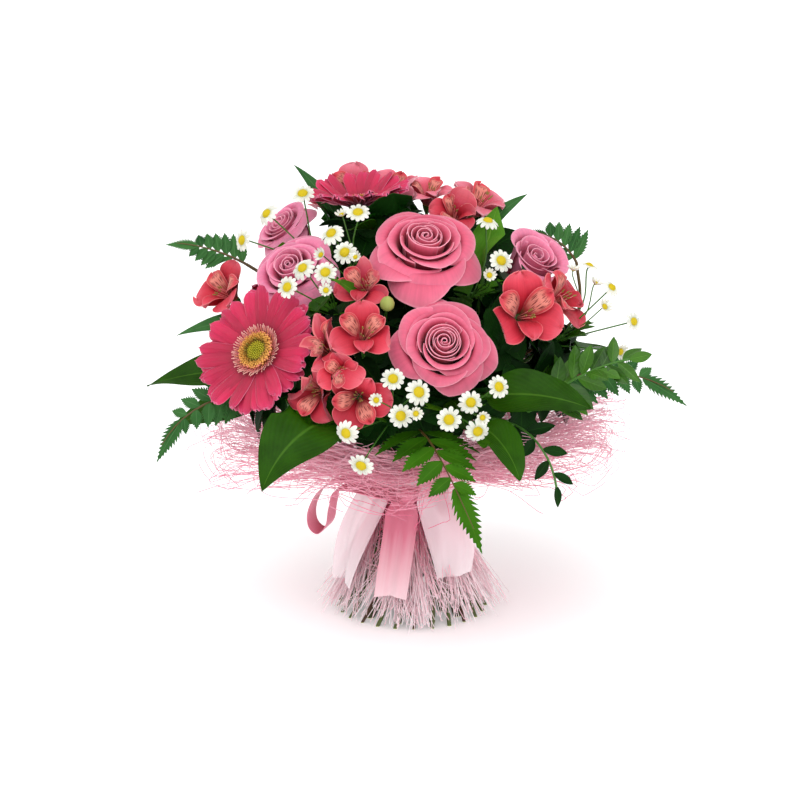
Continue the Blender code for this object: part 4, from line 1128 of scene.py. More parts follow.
def gerbera(name, spec, path):
    """Two layers of rays, the disc, and the leafless stalk with its cup."""
    axis = facing(spec)
    size = spec["size"]
    place = standing(Vector(spec["at"]), axis, 7.0)
    rays = []
    for layer, count in enumerate(spec["rays"]):
        for number in range(count):
            rays.append(gerbera_ray(number, count, layer, size, spec["cup"], place))
    dressed(thickened(rays, "ray"), f"{name}_gerbera", "gerbera_ray", f"gerbera_{name}_rays")
    gerbera_disc(name, size, place)
    top = Vector(spec["at"]) - axis * 3.0 * size
    cup = [top - axis * 11.0, top - axis * 4.5 * size, top]
    green = stalk(path, GERBERA_STEM, "stalk", cup, [4.5, 9.0 * size, 10.5 * size])
    dressed(green, f"{name}_gerbera_stalk", "stem", f"gerbera_{name}_stem")


# Alstroemerias.
def tepal(angle, broad, skin, size, place):
    """The three outer tepals are broad and cupped, the three inner ones narrow and upright."""
    reach, rise = BROAD_TEPAL if broad else NARROW_TEPAL
    reach *= random.uniform(0.98, 1.12)
    curl = random.uniform(0.4, 1.6) * (9.0 if broad else 8.0)
    phase = random.uniform(0, WHOLE_TURN)
    out, side = spoke(angle)
    lean = random.uniform(-1.5, 1.5)

    def shape(across, t):
        along = crowded(t)
        radius = 2.0 + reach * along**1.6
        height = rise * math.sin(min(1.15 * along, 1.0) * 1.57) - curl * max(0.0, along - 0.55) ** 1.5
        if broad:
            half = 1.6 + 12.2 * math.sin(math.pi * min(0.9, 0.04 + 0.72 * along**1.2)) ** 0.8
        else:
            half = 1.4 + 6.4 * math.sin(math.pi * min(0.9, 0.02 + 0.80 * along**1.3))
        half *= min(1.0, 0.45 + 1.6 * along)
        half *= blunt(along, 0.72, 0.281, 2.4)
        height += 2.2 * across * across * along + 1.3 * math.sin(5 * across + phase) * along**3
        height += 0.25 * math.cos(9 * across) * along + lean * across * along**2
        height += 0.8 * math.sin(7 * across + 2.1 * phase) * along**4
        return place @ ((out * radius + side * across * half + Vector((0, 0, height))) * size)

    return blade(shape, 10, 13, skin)


def stamens(size, place):
    """Six filaments with dark anthers, which lean to one side of the throat."""
    parts = []
    smaller = Matrix.Scale(size, 4)
    for number in range(6):
        angle = math.radians(60 * number + random.uniform(-15, 15))
        spread = Vector((math.cos(angle), math.sin(angle), 0)) * random.uniform(2.5, 5.0)
        tip = spread + Vector((random.uniform(1, 3), random.uniform(-4, -2), random.uniform(21, 27)))
        foot = spread * 0.3 + Vector((0, 0, 3))
        filament = knob("filament_long", 0.42, 0.30, 1.0, 4)
        filament.transform(Matrix.Diagonal((1, 1, (tip - foot).length, 1)))
        filament.transform(smaller)
        spot = standing((tip + foot) / 2 * size, tip - foot)
        parts.append(marked(placed(filament, place @ spot), "stamen", out=0.15))
        anther = knob("anther", 0.75, 0.45, 2.8, 5)
        anther.transform(smaller)
        spot = standing(tip * size, tip - foot + spread)
        parts.append(marked(placed(anther, place @ spot), "stamen", out=0.9))
    return parts


def floret(spot, hub, fork, turn, spin, owner, skin):
    """One flower of a spray: its six tepals, its stamens, and its neck from the spray's fork."""
    size = spot[3]
    axis = head_axis(spot, hub, turn)
    base = Vector(spot[:3]) - axis * FLORET_DEPTH * size
    place = standing(base, axis, spin)
    blades = []
    for number in range(3):
        blades.append(tepal(math.radians(120 * number + 90), True, skin, size, place))
        inner = "striped_tepal" if number != 2 else skin
        blades.append(tepal(math.radians(120 * number + 30), False, inner, size, place))
    petals = kept_clear(thickened(blades, "tepal"), PETAL_MARGIN, owner)
    bend = clear_of_heads(fork.lerp(base - axis * 5.0 * size, 0.55), NECK_MARGIN, owner)
    neck = smoothed([fork, bend, base - axis * 4.0])
    throat = [base, base + axis * 3.5 * size]
    radii = [1.2] * len(neck) + [3.0, 3.6]
    return [petals, *stamens(size, place), tube([*neck, *throat], radii, "stalk")]


def alstroemeria(name, spec, path):
    """A spray: its stalk, its florets, its long leaves, and the small ones where it branches."""
    owner = f"alstroemeria_{name}"
    hub = spray_hub(spec["florets"], FLORET_HUB_DEPTH)
    skin = "pale_tepal" if name in PALE_SPRAYS else "tepal"
    pieces = [stalk(path, ALSTROEMERIA_STEM, "stalk")]
    for number, spot in enumerate(spec["florets"]):
        fork = branching(path, number)
        pieces += floret(spot, hub, fork, spec["turn"], 50.0 * number, f"{owner}_{number}", skin)
    skin = "light_leaf" if name == "centre" else "grey_fern"
    leaves = []
    for heading, climb, length, roll in spec["leaves"]:
        leaves.append(long_leaf(arch(hub, heading, climb, 35.0, length, roll), 7.0, 0.6, skin))
    for number in range(5):
        midrib = arch(hub, 72 * number + 20, 35, 60, 34)
        leaves.append(long_leaf(midrib, 4.2, 0.6, "leaflet"))
    pieces.append(kept_clear(thickened(leaves, "leaf"), LEAF_MARGIN, owner))
    dressed(joined(pieces), f"{name}_alstroemeria", "alstroemeria", owner)


def closed_bud(paths):
    """The round green bud on the centre spray: its neck and its swelling."""
    fork = branching(paths["alstroemeria", "centre"], 1)
    middle, up = Vector(CLOSED_BUD), Vector((0.1, -0.55, 0.83)).normalized()
    neck = smoothed([fork, fork.lerp(middle - up * 7, 0.6) + Vector((0, 0, 2)), middle - up * 5.5])
    swell = [middle + up * step for step, _ in BUD_PROFILE]
    radii = [0.9, *(radius for _, radius in BUD_PROFILE)]
    return [tube(neck, 0.9, "stalk"), tube([neck[-1], *swell], radii, "bud", rounds=5)]


def side_florets(paths):
    """The lesser florets of the sprays, with leaves under those on the crown, and the bud."""
    pieces = []
    for number, (name, spec) in enumerate(SIDE_FLORETS.items()):
        hub = Vector(spec["at"]) - facing(spec) * FLORET_HUB_DEPTH
        fork = branching(paths["alstroemeria", spec["spray"]], 2)
        spot = (*spec["at"], spec["size"])
        pieces += floret(spot, hub, fork, (0, 0, 0), 40.0 * number, name, spec["skin"])
        keep_room(name, "side", Vector(spec["at"]) - facing(spec) * 8.0, facing(spec))
        if name.startswith("crown"):
            foot = Vector(spec["at"]) - facing(spec) * 30.0
            blades = []
            for heading in range(10, 370, 60):
                blades.append(long_leaf(arch(foot, heading, 45, 40, 28), 8.0, 0.8, "leaflet"))
            pieces.append(kept_clear(thickened(blades, "leaf"), LEAF_MARGIN, name))
    pieces += closed_bud(paths)
    dressed(joined(pieces), "side_alstroemerias", "alstroemeria")


# Feverfew.
def feverfew_model(reflex):
    """One head at the origin: a bumpy yellow button, a ring of blunt white rays, a green cup."""
    rays = []
    for number in range(12):
        angle = 2 * math.pi * number / 12 + random.uniform(-0.09, 0.09)
        out, side = spoke(angle)
        reach = random.uniform(8.8, 10.0)
        droop = random.uniform(0.2, 0.9) + reflex

        def shape(across, t):
            along = crowded(t)
            radius = 3.2 + (reach - 3.2) * along
            half = 0.75 + 0.95 * math.sin(math.pi * min(1.0, 0.1 + 0.62 * along))
            half *= blunt(along, 0.75, 0.251)
            height = 0.5 - droop * along * along + 0.2 * math.cos(2 * math.pi * across)
            return out * radius + side * across * half + Vector((0, 0, height))

        rays.append(blade(shape, 4, 6, "feverfew_ray"))
    head = [thickened(rays, "feverfew")]
    bpy.ops.mesh.primitive_ico_sphere_add(subdivisions=3, radius=1.0)
    button = bpy.context.object
    for vertex in button.data.vertices:
        grain = 1 + 0.07 * math.sin(40 * vertex.co.x) * math.sin(40 * vertex.co.y)
        tall = 3.0 if vertex.co.z > 0 else 1.2
        vertex.co = Vector((vertex.co.x * 4.1, vertex.co.y * 4.1, vertex.co.z * tall)) * grain * MM
    head.append(marked(button, "feverfew_disc", out=0.35))
    bpy.ops.mesh.primitive_cone_add(vertices=12, radius1=0.9 * MM, radius2=3.6 * MM, depth=2.6 * MM,
                                    location=(0, 0, -0.9 * MM))
    bpy.ops.object.transform_apply(location=True)
    head.append(marked(bpy.context.object, "stalk", tone=0.5))
    return taken(joined(head))


def lobed_leaf(point, way, over, length):
    """A feverfew leaf, cut into blunt lobes."""
    side = way.cross(over).normalized()

    def shape(across, along):
        lobes = 0.62 + 0.38 * math.cos(along * 6 * math.pi) if along < 0.96 else 0.3
        half = 0.42 * length * math.sin(math.pi * min(1, 0.06 + 0.86 * along)) * lobes
        middle = point + way * length * along - over * 4.0 * along * along
        return middle + side * across * half + way * abs(across) * half * 0.5

    return blade(shape, 2, 18, "fern")


def head_stalk(fork, foot, axis, bow, radius, owner):
    """The thin stalk of one head, from its spray's fork, bowed to come up straight under it."""
    bend = clear_of_heads(fork.lerp(foot - axis * bow, 0.6), HEAD_STALK_MARGIN, owner)
    line = smoothed([fork, bend, foot - axis * 4.0, foot])
    return tube(line, radius, "stalk", rounds=1)


def feverfew(name, spec, path):
    """A spray: its stalk, its heads and buds on thin stalks, and its lobed leaves."""
    owner = f"feverfew_{name}"
    hub = FEVERFEW_HUBS[name]
    full = FEVERFEW_FULL.get(name, 0.90)
    pieces = [stalk(path, THIN_STEM, "stalk")]
    for number, spot in enumerate(FEVERFEW_SPOTS[name]):
        axis = head_axis(spot, hub, spec["turn"])
        fork = branching(path, number)
        pieces.append(head_stalk(fork, spot - axis * 1.6, axis, 9.0, 0.55, owner))
        model = MODELS["feverfew", number % 2].copy()
        model.transform(Matrix.Scale(full * random.uniform(0.94, 1.04), 4))
        pieces.append(placed(model, standing(spot, axis, random.uniform(0, 360))))
    for number, (*spot, size) in enumerate(FEVERFEW_BUDS.get(name, ())):
        spot = clear_of_heads(Vector(spot), 2.0, owner)
        axis = head_axis(spot, hub, spec["turn"])
        pieces.append(head_stalk(branching(path, number), spot, axis, 8.0, 0.45, owner))
        model = MODELS["feverfew", "bud"].copy()
        model.transform(Matrix.Scale(size, 4))
        pieces.append(placed(model, standing(spot, axis, 50.0 * number)))
    leaves = []
    for number in range(4):
        midrib = arch(hub - Vector((0, 0, 4)), 90 * number + 35, 30, 50, 24)
        point, _, over, forward = midrib(0.0)
        leaves.append(lobed_leaf(point, forward, over, 26.0))
    pieces.append(kept_clear(thickened(leaves, "lobed"), LEAF_MARGIN, owner))
    dressed(joined(pieces), f"{name}_feverfew", "feverfew", owner)


# Leaves, fronds and sprigs.
def long_leaf(midrib, width, wave, skin, cells=(6, 16)):
    """A smooth leaf, folded along its midrib and waved along its edges."""
    phase = random.uniform(0, WHOLE_TURN)

    def shape(across, along):
        point, side, over, _ = midrib(along)
        half = width * max(0.0, math.sin(math.pi * along**0.68)) ** 0.9
        lift = abs(across) ** 1.4 * half * 0.24 + across * wave * math.sin(9.0 * along)
        lift += 0.25 * wave * math.sin(17 * along + 3 * across + phase) * abs(across)
        return point + side * across * half + over * lift

    return blade(shape, *cells, skin)


def broad_leaf(name, spec, path):
    """A large leaf on its own stalk."""
    midrib = leaf_midrib(spec)
    skin = "light_leaf" if name == "upper_right" else "leaf"
    leaf = long_leaf(midrib, spec["width"] / 2, 1.5, skin, cells=(14, 34))
    leaf = kept_clear(thickened([leaf], "broad"), LEAF_MARGIN)
    pieces = [leaf, stalk(path, THIN_STEM, "stalk", [midrib(0.04)[0]], [THIN_STEM])]
    dressed(joined(pieces), f"{name}_leaf", "leaf", f"leaf_{name}")


def leaflet(point, way, over, length, width, teeth, depth, skin, taper=0.66):
    """A leaflet with toothed edges, which stands out from its rib."""
    side = way.cross(over).normalized()
    sag = random.uniform(0.06, 0.2)
    rows = 2 * teeth

    def shape(across, along):
        tooth = round(along * rows) % 2
        half = width / 2 * math.sin(math.pi * min(1.0, 0.02 + 0.98 * along) ** taper)
        forward = 0.35 * (1 - along)
        if abs(across) > 0.9:
            half *= 1 + (depth if tooth else -depth)
            forward += 0.35 * tooth
        middle = point + way * length * along - over * sag * length * along * along
        lift = over * abs(across) * half * 0.2
        return middle + side * across * half + lift + way * abs(across) * half * forward

    return blade(shape, 4, rows, skin)


def fern(name, spec, path):
    """A frond: broad toothed leaflets on a thin brown rib, and a narrow, deeply cut tip."""
    straight = leaf_midrib(spec)
    sway = Vector((spec["sway"], 0, 0))

    def midrib(along):
        point, side, over, forward = straight(along)
        forward = (forward + sway * (2 * along / spec["length"])).normalized()
        return point + sway * along * along, side, over, forward

    skin = "fern" if name in ("front", "back") else "grey_fern"
    blades = []
    for pair in range(spec["pairs"]):
        for hand in (-1, 1):
            along = 0.04 + 0.60 * (pair + 0.3 + 0.15 * hand) / spec["pairs"]
            point, side, over, forward = midrib(along)
            way = (side * hand + forward * random.uniform(0.5, 0.7) - over * 0.12).normalized()
            length = spec["width"] / 2 * (0.95 - 1.1 * along) + 4
            wide = min(0.46 * length + 1.5, 0.5 * spec["length"] / spec["pairs"] + 3.0)
            blades.append(leaflet(point, way, over, length, wide, 9, 0.18, skin))
    point, tip, over = midrib(0.60)[0], midrib(1.0)[0], midrib(0.8)[2]
    way, reach = (tip - point).normalized(), (tip - point).length
    blades.append(leaflet(point, way, over, reach, 0.30 * reach, 11, 0.26, skin, taper=0.5))
    frond = kept_clear(thickened(blades, "frond"), LEAF_MARGIN)
    rib = [midrib(0.85 * i / 9)[0] for i in range(10)]
    radii = [1.0 - 0.08 * i for i in range(10)]
    pieces = [frond, tube(rib, radii, "rachis", rounds=1), stalk(path, THIN_STEM * 0.8, "rachis")]
    dressed(joined(pieces), f"{name}_fern", "fern", f"fern_{name}")


def sprig(name, spec, path):
    """A leafy twig with pointed oval leaves on alternate sides."""
    midrib = leaf_midrib(spec)
    skin, size, per_pair = ("sprig", 25.0, 4) if name == "right" else ("leaflet", 20.0, 2)
    count = spec["pairs"] * per_pair
    blades = []
    for number in range(count + 1):
        along = 0.12 + 0.86 * number / count
        point, _, over, forward = midrib(along)
        wild = Vector((random.uniform(-0.5, 0.5), 0.0, random.uniform(-0.5, 0.5)))
        over = (over * 0.5 + Vector((0.3, -1.0, 0.2)) + wild).normalized()
        side = over.cross(forward).normalized()
        hand = 1 if number % 2 else -1
        tilt = random.uniform(-0.7, 0.9)
        apart = side * hand * math.cos(tilt) + over * math.sin(tilt)
        way = forward
        if number < count:
            way = (apart * 0.85 + forward * random.uniform(0.35, 0.8)).normalized()
        over = (over + way * 0.01).normalized()
        blades.append(oval_leaf(point, way, over, size * (1.15 - 0.4 * along), skin, 0.20))
    leaves = kept_clear(thickened(blades, "sprig"), LEAF_MARGIN)
    twig = tube([midrib(i / 9)[0] for i in range(10)], 0.8, "stalk")
    pieces = [leaves, twig, stalk(path, THIN_STEM * 0.9, "stalk")]
    dressed(joined(pieces), f"{name}_sprig", "leaf", f"sprig_{name}")


def oval_leaf(point, way, over, length, skin, wide, cells=(6, 12)):
    """A pointed oval leaf whose half width is this share of its length."""
    side = way.cross(over).normalized()
    sag = random.uniform(0.06, 0.16)

    def shape(across, along):
        half = wide * length * max(0.0, math.sin(math.pi * along**0.9)) ** 0.9
        middle = point + way * length * along - over * sag * length * along * along
        return middle + side * across * half + over * abs(across) * half * 0.3

    return blade(shape, *cells, skin)


# The dark leaves inside the bouquet. They fill a dome over the dome's centre, this far up.
INNER_RISE = 14.0
INNER_WIDE = 116.0
INNER_DEEP = 104.0
INNER_TALL = 121.0
STALK_LEAVES = {"rose": 20, "gerbera": 13, "alstroemeria": 13}
DOME_TRIES = 900
UPRIGHT_TRIES = 300
# Leaves under the upper heads, where the sky would show through: the middle of each.
CROWN_LEAVES = (
    (-24, 75, 269), (-8, 70, 270), (21, 75, 266), (40, 66, 262), (-66, 58, 264), (-48, 78, 264),
    (62, 58, 250),
)


def in_front(point):
    """Whether this place is inside a flower or before its face."""
    for _, centre, axis, radius, half in ROOM:
        offset = point - centre
        deep = offset.dot(axis)
        if deep > -0.5 * half and (offset - axis * deep).length < radius + 5:
            return True
    return False


def grows_free(spot, way, length, shares=(0.0, 0.6, 1.0)):
    """Whether a leaf from this spot stays out of every flower and from before its face."""
    return not any(in_front(spot + way * length * share) for share in shares)


def scattered(*spreads):
    """A vector of chance, with the spread of each of its parts."""
    return Vector([random.gauss(0, spread) for spread in spreads])


def stalk_leaves(path, count):
    """Leaves that stand out from the upper half of a stalk."""
    blades = []
    line = smoothed(path)
    for _ in range(count):
        spot = line[random.randrange(len(line) * 5 // 10, len(line) - 1)]
        outward = (spot - DOME_CENTRE).normalized()
        turn = scattered(1, 1, 0.7)
        way = (outward * 0.9 + turn.normalized()).normalized()
        over = (Vector((0, 0, 1)) + turn * 0.2).cross(way).cross(way) * -1
        length = random.uniform(22, 34)
        if grows_free(spot, way, length, (0.5, 1.0)):
            blades.append(oval_leaf(spot, way, over.normalized(), length, "leaflet", 0.33, (4, 8)))
    return blades


def dome_leaves():
    """Leaves that lie along the dome, at its surface and a little way in."""
    blades = []
    for _ in range(DOME_TRIES):
        outward = scattered(1, 1, 1)
        outward.z = abs(outward.z)
        outward.normalize()
        depth = random.uniform(0.76, 1.0)
        across, back = outward.x * INNER_WIDE, outward.y * INNER_DEEP
        spot = DOME_CENTRE + Vector((across, back, INNER_RISE + outward.z * INNER_TALL)) * depth
        turn = scattered(1, 1, 1).normalized()
        way = (outward.cross(turn).normalized() + outward * 0.35).normalized()
        over = (outward + turn * 0.3).normalized()
        length = random.uniform(24, 36)
        if grows_free(spot, way, length):
            skin = "leaf" if depth > 0.93 and random.random() < 0.4 else "leaflet"
            blades.append(oval_leaf(spot, way, over, length, skin, 0.34, (4, 6)))
    return blades


def upright_leaves():
    """Leaves behind the middle that face the front, so that no sky shows between the heads."""
    blades = []
    for _ in range(UPRIGHT_TRIES):
        x, y = random.uniform(-80, 80), random.uniform(10, 72)
        rise = INNER_TALL * math.sqrt(1 - (x / INNER_WIDE) ** 2 - (y / INNER_DEEP) ** 2)
        height = DOME_CENTRE.z + INNER_RISE + rise
        spot = Vector((x, y, random.uniform(205, height + 12)))
        way = scattered(1, 0.4, 0.5)
        way.z = abs(way.z)
        way.normalize()
        over = Vector((random.gauss(0, 0.4), -1.0, 0.2)).normalized()
        length = random.uniform(24, 32)
        if grows_free(spot, way, length):
            blades.append(oval_leaf(spot, way, over, length, "leaflet", 0.34, (4, 6)))
    for middle in CROWN_LEAVES:
        side = random.choice((-1, 1))
        way = Vector((side, random.gauss(0, 0.2), random.gauss(0, 0.25))).normalized()
        over = Vector((random.gauss(0, 0.3), -1.0, 0.3)).normalized()
        foot = Vector(middle) - way * 17
        blades.append(oval_leaf(foot, way, over, 34, "leaflet", 0.34, (4, 8)))
    return blades


def inner_leaves(paths):
    """Dark leaflets, which fill the bouquet between its heads."""
    blades = []
    for (kind, _), path in paths.items():
        if kind in STALK_LEAVES:
            blades += stalk_leaves(path, STALK_LEAVES[kind])
    blades += dome_leaves() + upright_leaves()
    filling = kept_clear(thickened(blades, "leaf"), LEAF_MARGIN)
    dressed(filling, "inner_foliage", "leaf")


# The wrap of sisal.
COLLAR_FIBRES = 2200
COLLAR_POINTS = 13
COLLAR_THICKNESS = 0.25
COLLAR_FOOT = 104
SKIRT_FIBRES = 1700
SKIRT_POINTS = 9
SKIRT_THICKNESS = 0.28
# The lowest that the collar's fibres hang, and that the skirt's reach.
COLLAR_LOWEST = 92.0
SKIRT_LOWEST = 1.0
# Bearings of the wisps that fall from the tie, with the stalks seen between them.
SKIRT_WISPS = (
    8, 30, 52, 79, 98, 120, 146, 170, 186, 197, 205, 252, 261, 269, 278, 318, 327, 350,
)


def strand_profile(radius):
    """A small triangle, the cross-section of a strand."""
    profile = bpy.data.curves.new("strand", "CURVE")
    profile.dimensions = "3D"
    corner = profile.splines.new("POLY")
    corner.points.add(2)
    for place, turn in zip(corner.points, (0.0, 2.094, 4.189)):
        place.co = (radius * math.cos(turn) * MM, radius * math.sin(turn) * MM, 0, 1)
    corner.use_cyclic_u = True
    return placed(profile)


def fibres(lines, skin, radius):
    """Thin three-sided strands through these lines, all in one mesh."""
    curve = bpy.data.curves.new("fibres", "CURVE")
    curve.dimensions = "3D"
    curve.bevel_mode = "OBJECT"
    curve.bevel_object = strand_profile(radius)
    for line in lines:
        spline = curve.splines.new("POLY")
        spline.points.add(len(line) - 1)
        places = [(point.x * MM, point.y * MM, point.z * MM, 1.0) for point in line]
        spline.points.foreach_set("co", list(itertools.chain(*places)))
    piece = as_mesh(curve)
    bpy.data.objects.remove(curve.bevel_object)
    return marked(piece, skin)


def collar_rim(angle):
    """How far out the collar reaches: further at the sides than before and behind."""
    return COLLAR_REACH + COLLAR_SIDES * math.cos(angle) ** 2


def collar_point(angle, share, level, lift):
    """A place in the collar: share runs from the tie to the rim, and level from its under side up."""
    radius = WRAP_WAIST + (collar_rim(angle) - WRAP_WAIST) * share
    rise = (12 + 36 * level) * max(0.0, share) ** 0.9
    droop = 22 * max(0.0, share - 0.95) ** 1.5 * (1 + share)
    height = COLLAR_FOOT + rise - droop * 2 + 5.0 * share * math.cos(6 * angle + 0.6) + lift
    return Vector((radius * math.cos(angle), radius * math.sin(angle), max(height, COLLAR_LOWEST)))


def collar_strands(count):
    """Fibres that leave the tie, wander outwards and curl past the rim."""
    lines = []
    for _ in range(count):
        angle = random.uniform(0, 2 * math.pi)
        share = random.random() ** 1.5 * 0.85
        way = random.gauss(0, 0.55)
        bend = random.gauss(0, 0.04 if random.random() < 0.6 else 0.16)
        lift, climb = random.gauss(0, 3.0), random.gauss(0, 0.35)
        level = random.random()
        step = random.uniform(4.0, 10.0)
        far = 1.0 + 0.25 * random.random() ** 2
        line = []
        for _ in range(COLLAR_POINTS):
            line.append(collar_point(angle, share, level, lift))
            rim = collar_rim(angle)
            radius = WRAP_WAIST + (rim - WRAP_WAIST) * share
            share = min(far, share + step * math.cos(way) / (rim - WRAP_WAIST))
            angle += step * math.sin(way) / radius
            way += bend
            lift += climb + random.gauss(0, 0.35)
        lines.append(line)
    return lines


def skirt_strands(count):
    """Fibres that fall from the tie, in straight wisps with gaps between them.

    Of each twelve, two make the mat at the tie, one strays over the skirt, and nine fall in wisps.
    Two of those nine stand out further than the others.
    """
    wisps = [math.radians(bearing) for bearing in SKIRT_WISPS]
    lines = []
    for number in range(count):
        kind = number % 12
        if kind < 2:
            angle, height = random.uniform(0, 2 * math.pi), 101 - 24 * random.random()
            way, bend, step = random.gauss(0, 0.8), random.gauss(0, 0.28), random.uniform(2.0, 4.5)
        elif kind == 2:
            angle, height = random.uniform(0, 2 * math.pi), 96 - 50 * random.random()
            way, bend, step = random.gauss(0, 0.7), random.gauss(0, 0.3), random.uniform(5.0, 9.0)
        else:
            angle = random.choice(wisps) + random.gauss(0, 0.06)
            height = 98 - 46 * random.random() ** 1.4
            way, bend = random.gauss(0, 0.10), random.gauss(0, 0.035)
            step = (height - random.uniform(1.0, 24.0)) / 8
        proud = random.uniform(8.0, 16.0) if kind in (4, 5) else random.uniform(-2.0, 7.0)
        line = []
        for _ in range(SKIRT_POINTS):
            flare = max(0.0, (TIE_HEIGHT - height) / TIE_HEIGHT)
            radius = wrap_radius(height) + proud * flare
            line.append(Vector((radius * math.cos(angle), radius * math.sin(angle), height)))
            fall = step * math.cos(way)
            if height - fall < SKIRT_LOWEST:
                fall = 0.2 * (height - SKIRT_LOWEST)
            height -= fall
            angle += step * math.sin(way) / radius
            way += bend
            proud += random.gauss(0, 0.8)
        lines.append(line)
    return lines


def sisal_wrap():
    """The wide collar above the tie, and the fringed skirt below it."""
    collar = fibres(collar_strands(COLLAR_FIBRES), "collar", COLLAR_THICKNESS)
    dressed(collar, "sisal_collar", "sisal", "sisal_wrap")
    skirt = fibres(skirt_strands(SKIRT_FIBRES), "skirt", SKIRT_THICKNESS)
    dressed(skirt, "sisal_skirt", "sisal", "sisal_wrap")


# Ribbons. The satin loop's path runs from the knot and back to it.
SATIN_LOOP = [
    (-7, -30, 90), (-26, -36, 99), (-46, -41, 107), (-61, -43, 102), (-69, -44, 88), (-69, -44, 76),
    (-63, -43, 70), (-57, -42, 76), (-55, -41, 88), (-50, -39, 100), (-28, -33, 95), (-7, -29, 88),
]


def ring_band(radius, low, high, skin):
    """A soft band round the waist, crushed into small pleats."""

    def shape(across, along):
        angle = math.pi * across
        crush = 0.35 * math.sin(19 * angle) + 0.3 * math.sin(2 * math.pi * along + 5 * angle)
        out = radius + crush
        return Vector((out * math.cos(angle), out * math.sin(angle), low + (high - low) * along))

    return blade(shape, 96, 6, skin, tone=0.5)


def tail(points, width, skin, twist=0.0, notch=0.0, fold=1.2, swell=0.0):
    """A ribbon's tail along these points, with soft folds, its end cut in a notch."""

    def shape(across, along):
        point = bezier(points, along)
        out = Vector((point.x, point.y, 0.0)).normalized()
        side = out.cross(Vector((0, 0, 1)))
        side = (side + out * twist * math.sin(math.pi * along)).normalized()
        up = Vector((0, 0, notch * (1 - abs(across)) * max(0.0, along - 0.8) * 5))
        ripple = math.sin(3.5 * across + 4.0 * along) + 0.35 * math.sin(9.0 * across - 2.0 * along)
        ripple = out * ripple * fold * min(1.0, 2.5 * along)
        half = width / 2 * min(1.0, 0.5 + 2.0 * along)
        if across * swell < 0:
            half *= 1 + abs(swell) * math.sin(math.pi * along**0.9)
        return point + side * across * half + up + ripple

    return blade(shape, 18, 30, skin, tone=0.5)


def loop(points, way, width, skin):
    """A loop of ribbon that leaves the knot, hangs down in a drop, and comes back to it."""
    line = smoothed([Vector(point) for point in points], 6)
    side = Vector(way).normalized()

    def shape(across, along):
        spot = (across + 1) / 2 * (len(line) - 1)
        first = min(int(spot), len(line) - 2)
        point = line[first].lerp(line[first + 1], spot - first)
        return point + side * (along - 0.5) * width

    return blade(shape, 72, 4, skin, tone=0.5)


def knot(centre, size, skin):
    """The knot: a small soft pillow of ribbon with folds that run into it."""
    bpy.ops.mesh.primitive_uv_sphere_add(segments=28, ring_count=14, radius=1.0)
    made = bpy.context.object
    for vertex in made.data.vertices:
        fold = 1 + 0.10 * math.sin(9 * vertex.co.z + 3 * vertex.co.x)
        x, y, z = vertex.co
        point = Vector((x * size[0], y * size[1] * fold, z * size[2] * fold))
        vertex.co = (Vector(centre) + point) * MM
    return marked(made, skin, tone=0.5)


def satin_ribbon():
    """Its band, knot, one loop and one tail."""
    front = -SATIN_RADIUS
    hang = [(-6, front - 3, 91), (-7, front - 13, 77), (-11, front - 20, 54), (-15, -60, 26)]
    cloth = thickened([
        ring_band(SATIN_RADIUS, 87.5, 97.0, "satin"),
        tail(hang, 23.0, "satin", twist=0.12, notch=1.5),
        loop(SATIN_LOOP, (0.42, 0.90, 0.10), 14.0, "satin"),
    ], "satin")
    ribbon = joined([cloth, knot((-3, front - 2.5, 90.5), (8.0, 4.0, 5.0), "satin")])
    dressed(ribbon, "satin_bow", "satin", "satin_ribbon")


def organza_ribbon():
    """Its band and two tails, which fall over the skirt on either side of the satin's."""

    def hang(bearing, lean, low):
        start = polar(bearing, 90.0, ORGANZA_RADIUS - 0.9)
        end = polar(bearing + lean, 90.0, wrap_radius(low) + 9.0)
        top, mid = Vector((0, 0, 101)), Vector((0, 0, 84))
        return [start + top, start * 1.6 + mid, end * 0.92 + mid * 0.72, end + Vector((0, 0, low))]

    ribbon = thickened([
        ring_band(ORGANZA_RADIUS, 96.4, 103.0, "organza"),
        tail(hang(222.0, -16.0, 24.0), 26.0, "organza", twist=0.3, notch=3.0, fold=2.6, swell=-0.25),
        tail(hang(300.0, 6.0, 36.0), 30.0, "organza", twist=-0.3, notch=-3.0, fold=3.2, swell=0.55),
    ], "organza")
    dressed(ribbon, "organza_bow", "organza", "organza_ribbon")


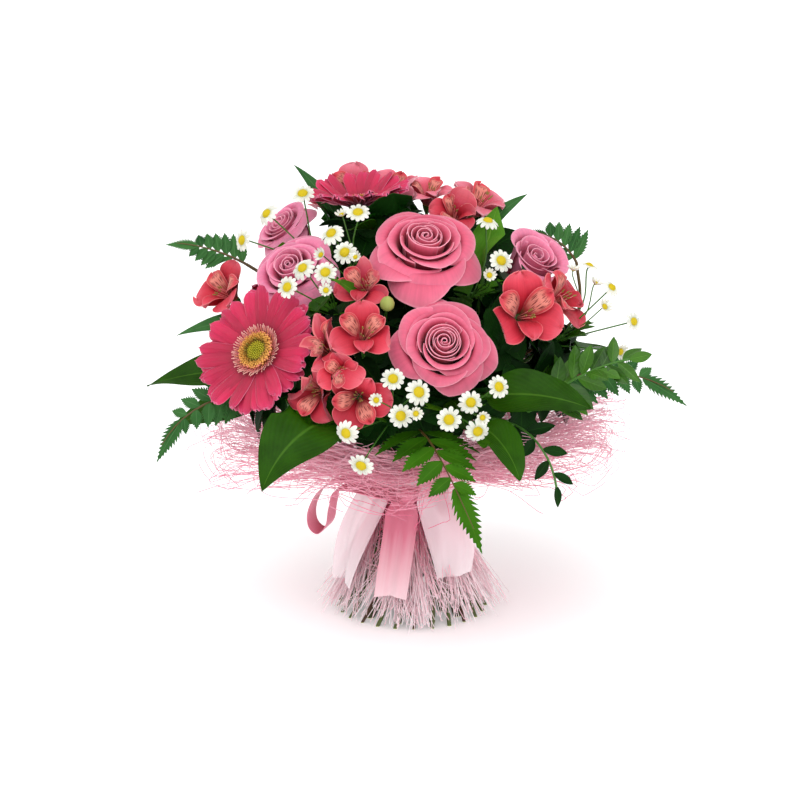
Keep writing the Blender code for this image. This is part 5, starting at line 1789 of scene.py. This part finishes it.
# The whole bouquet, its floor, lights and camera.
def floor_and_light():
    """A white table, an even white sky, and two broad, soft lamps before the bouquet."""
    bpy.ops.mesh.primitive_grid_add(x_subdivisions=8, y_subdivisions=8, size=14.0)
    floor = bpy.context.object
    floor.name = "floor"
    white = (0.93, 0.93, 0.93, 1.0)
    table_top, _, _ = finish("lit_white_table", base_color=white, roughness=0.7,
                             specular_ior_level=0.1, emission_color=white, emission_strength=0.22)
    floor.data.materials.append(table_top)
    world = bpy.context.scene.world or bpy.data.worlds.new("studio")
    bpy.context.scene.world = world
    world.use_nodes = True
    sky = world.node_tree.nodes["Background"]
    sky.inputs[0].default_value = (1.0, 1.0, 1.0, 1.0)
    sky.inputs[1].default_value = 0.85
    for name, aim, strength, spread in (
        ("key", (0.28, 0.52, -1.0), 1.5, 60.0),
        ("fill", (-0.50, 0.90, -0.38), 0.75, 60.0),
    ):
        bpy.ops.object.light_add(type="SUN", location=(0, 0, 1))
        lamp = bpy.context.object
        lamp.name = name
        lamp.data.energy = strength
        lamp.data.angle = math.radians(spread)
        lamp.rotation_euler = Vector(aim).to_track_quat("-Z", "Y").to_euler()


def camera():
    """The photograph's view, in metres: from the front, above, and with this width in view."""
    target = Vector((-0.0084, 0.0, 0.1515))
    distance, width_in_view = 2.6, 0.560
    lean = math.radians(17.0)
    place = target + Vector((0.0, -math.cos(lean), math.sin(lean))) * distance
    bpy.ops.object.camera_add(location=place)
    made = bpy.context.object
    made.data.lens = made.data.sensor_width * distance / width_in_view
    made.rotation_euler = (target - place).to_track_quat("-Z", "Y").to_euler()
    bpy.context.scene.camera = made
    bpy.context.scene.view_settings.view_transform = "Standard"


# Meshes made once and then copied, where the feverfew sprays branch, and where their heads are.
MODELS = {}
FEVERFEW_HUBS = {}
FEVERFEW_SPOTS = {}
# The table of each kind of plant, and what builds one of its rows.
KINDS = {
    "rose": (ROSES, rose),
    "gerbera": (GERBERAS, gerbera),
    "alstroemeria": (ALSTROEMERIAS, alstroemeria),
    "feverfew": (FEVERFEWS, feverfew),
    "leaf": (LEAVES, broad_leaf),
    "fern": (FERNS, fern),
    "sprig": (SPRIGS, sprig),
}

SKINS = finishes()
camera()
floor_and_light()
reserve_heads()
reserve_feverfew()
PATHS = stems()
for number, reflex in ((0, 0.4), (1, 2.8), ("bud", -5.5)):
    MODELS["feverfew", number] = feverfew_model(reflex)
for (kind, name), path in PATHS.items():
    rows, build = KINDS[kind]
    build(name, rows[name], path)
side_florets(PATHS)
inner_leaves(PATHS)
sisal_wrap()
satin_ribbon()
organza_ribbon()
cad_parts["binding_twine"].material_slots[0].material = SKINS["twine"]
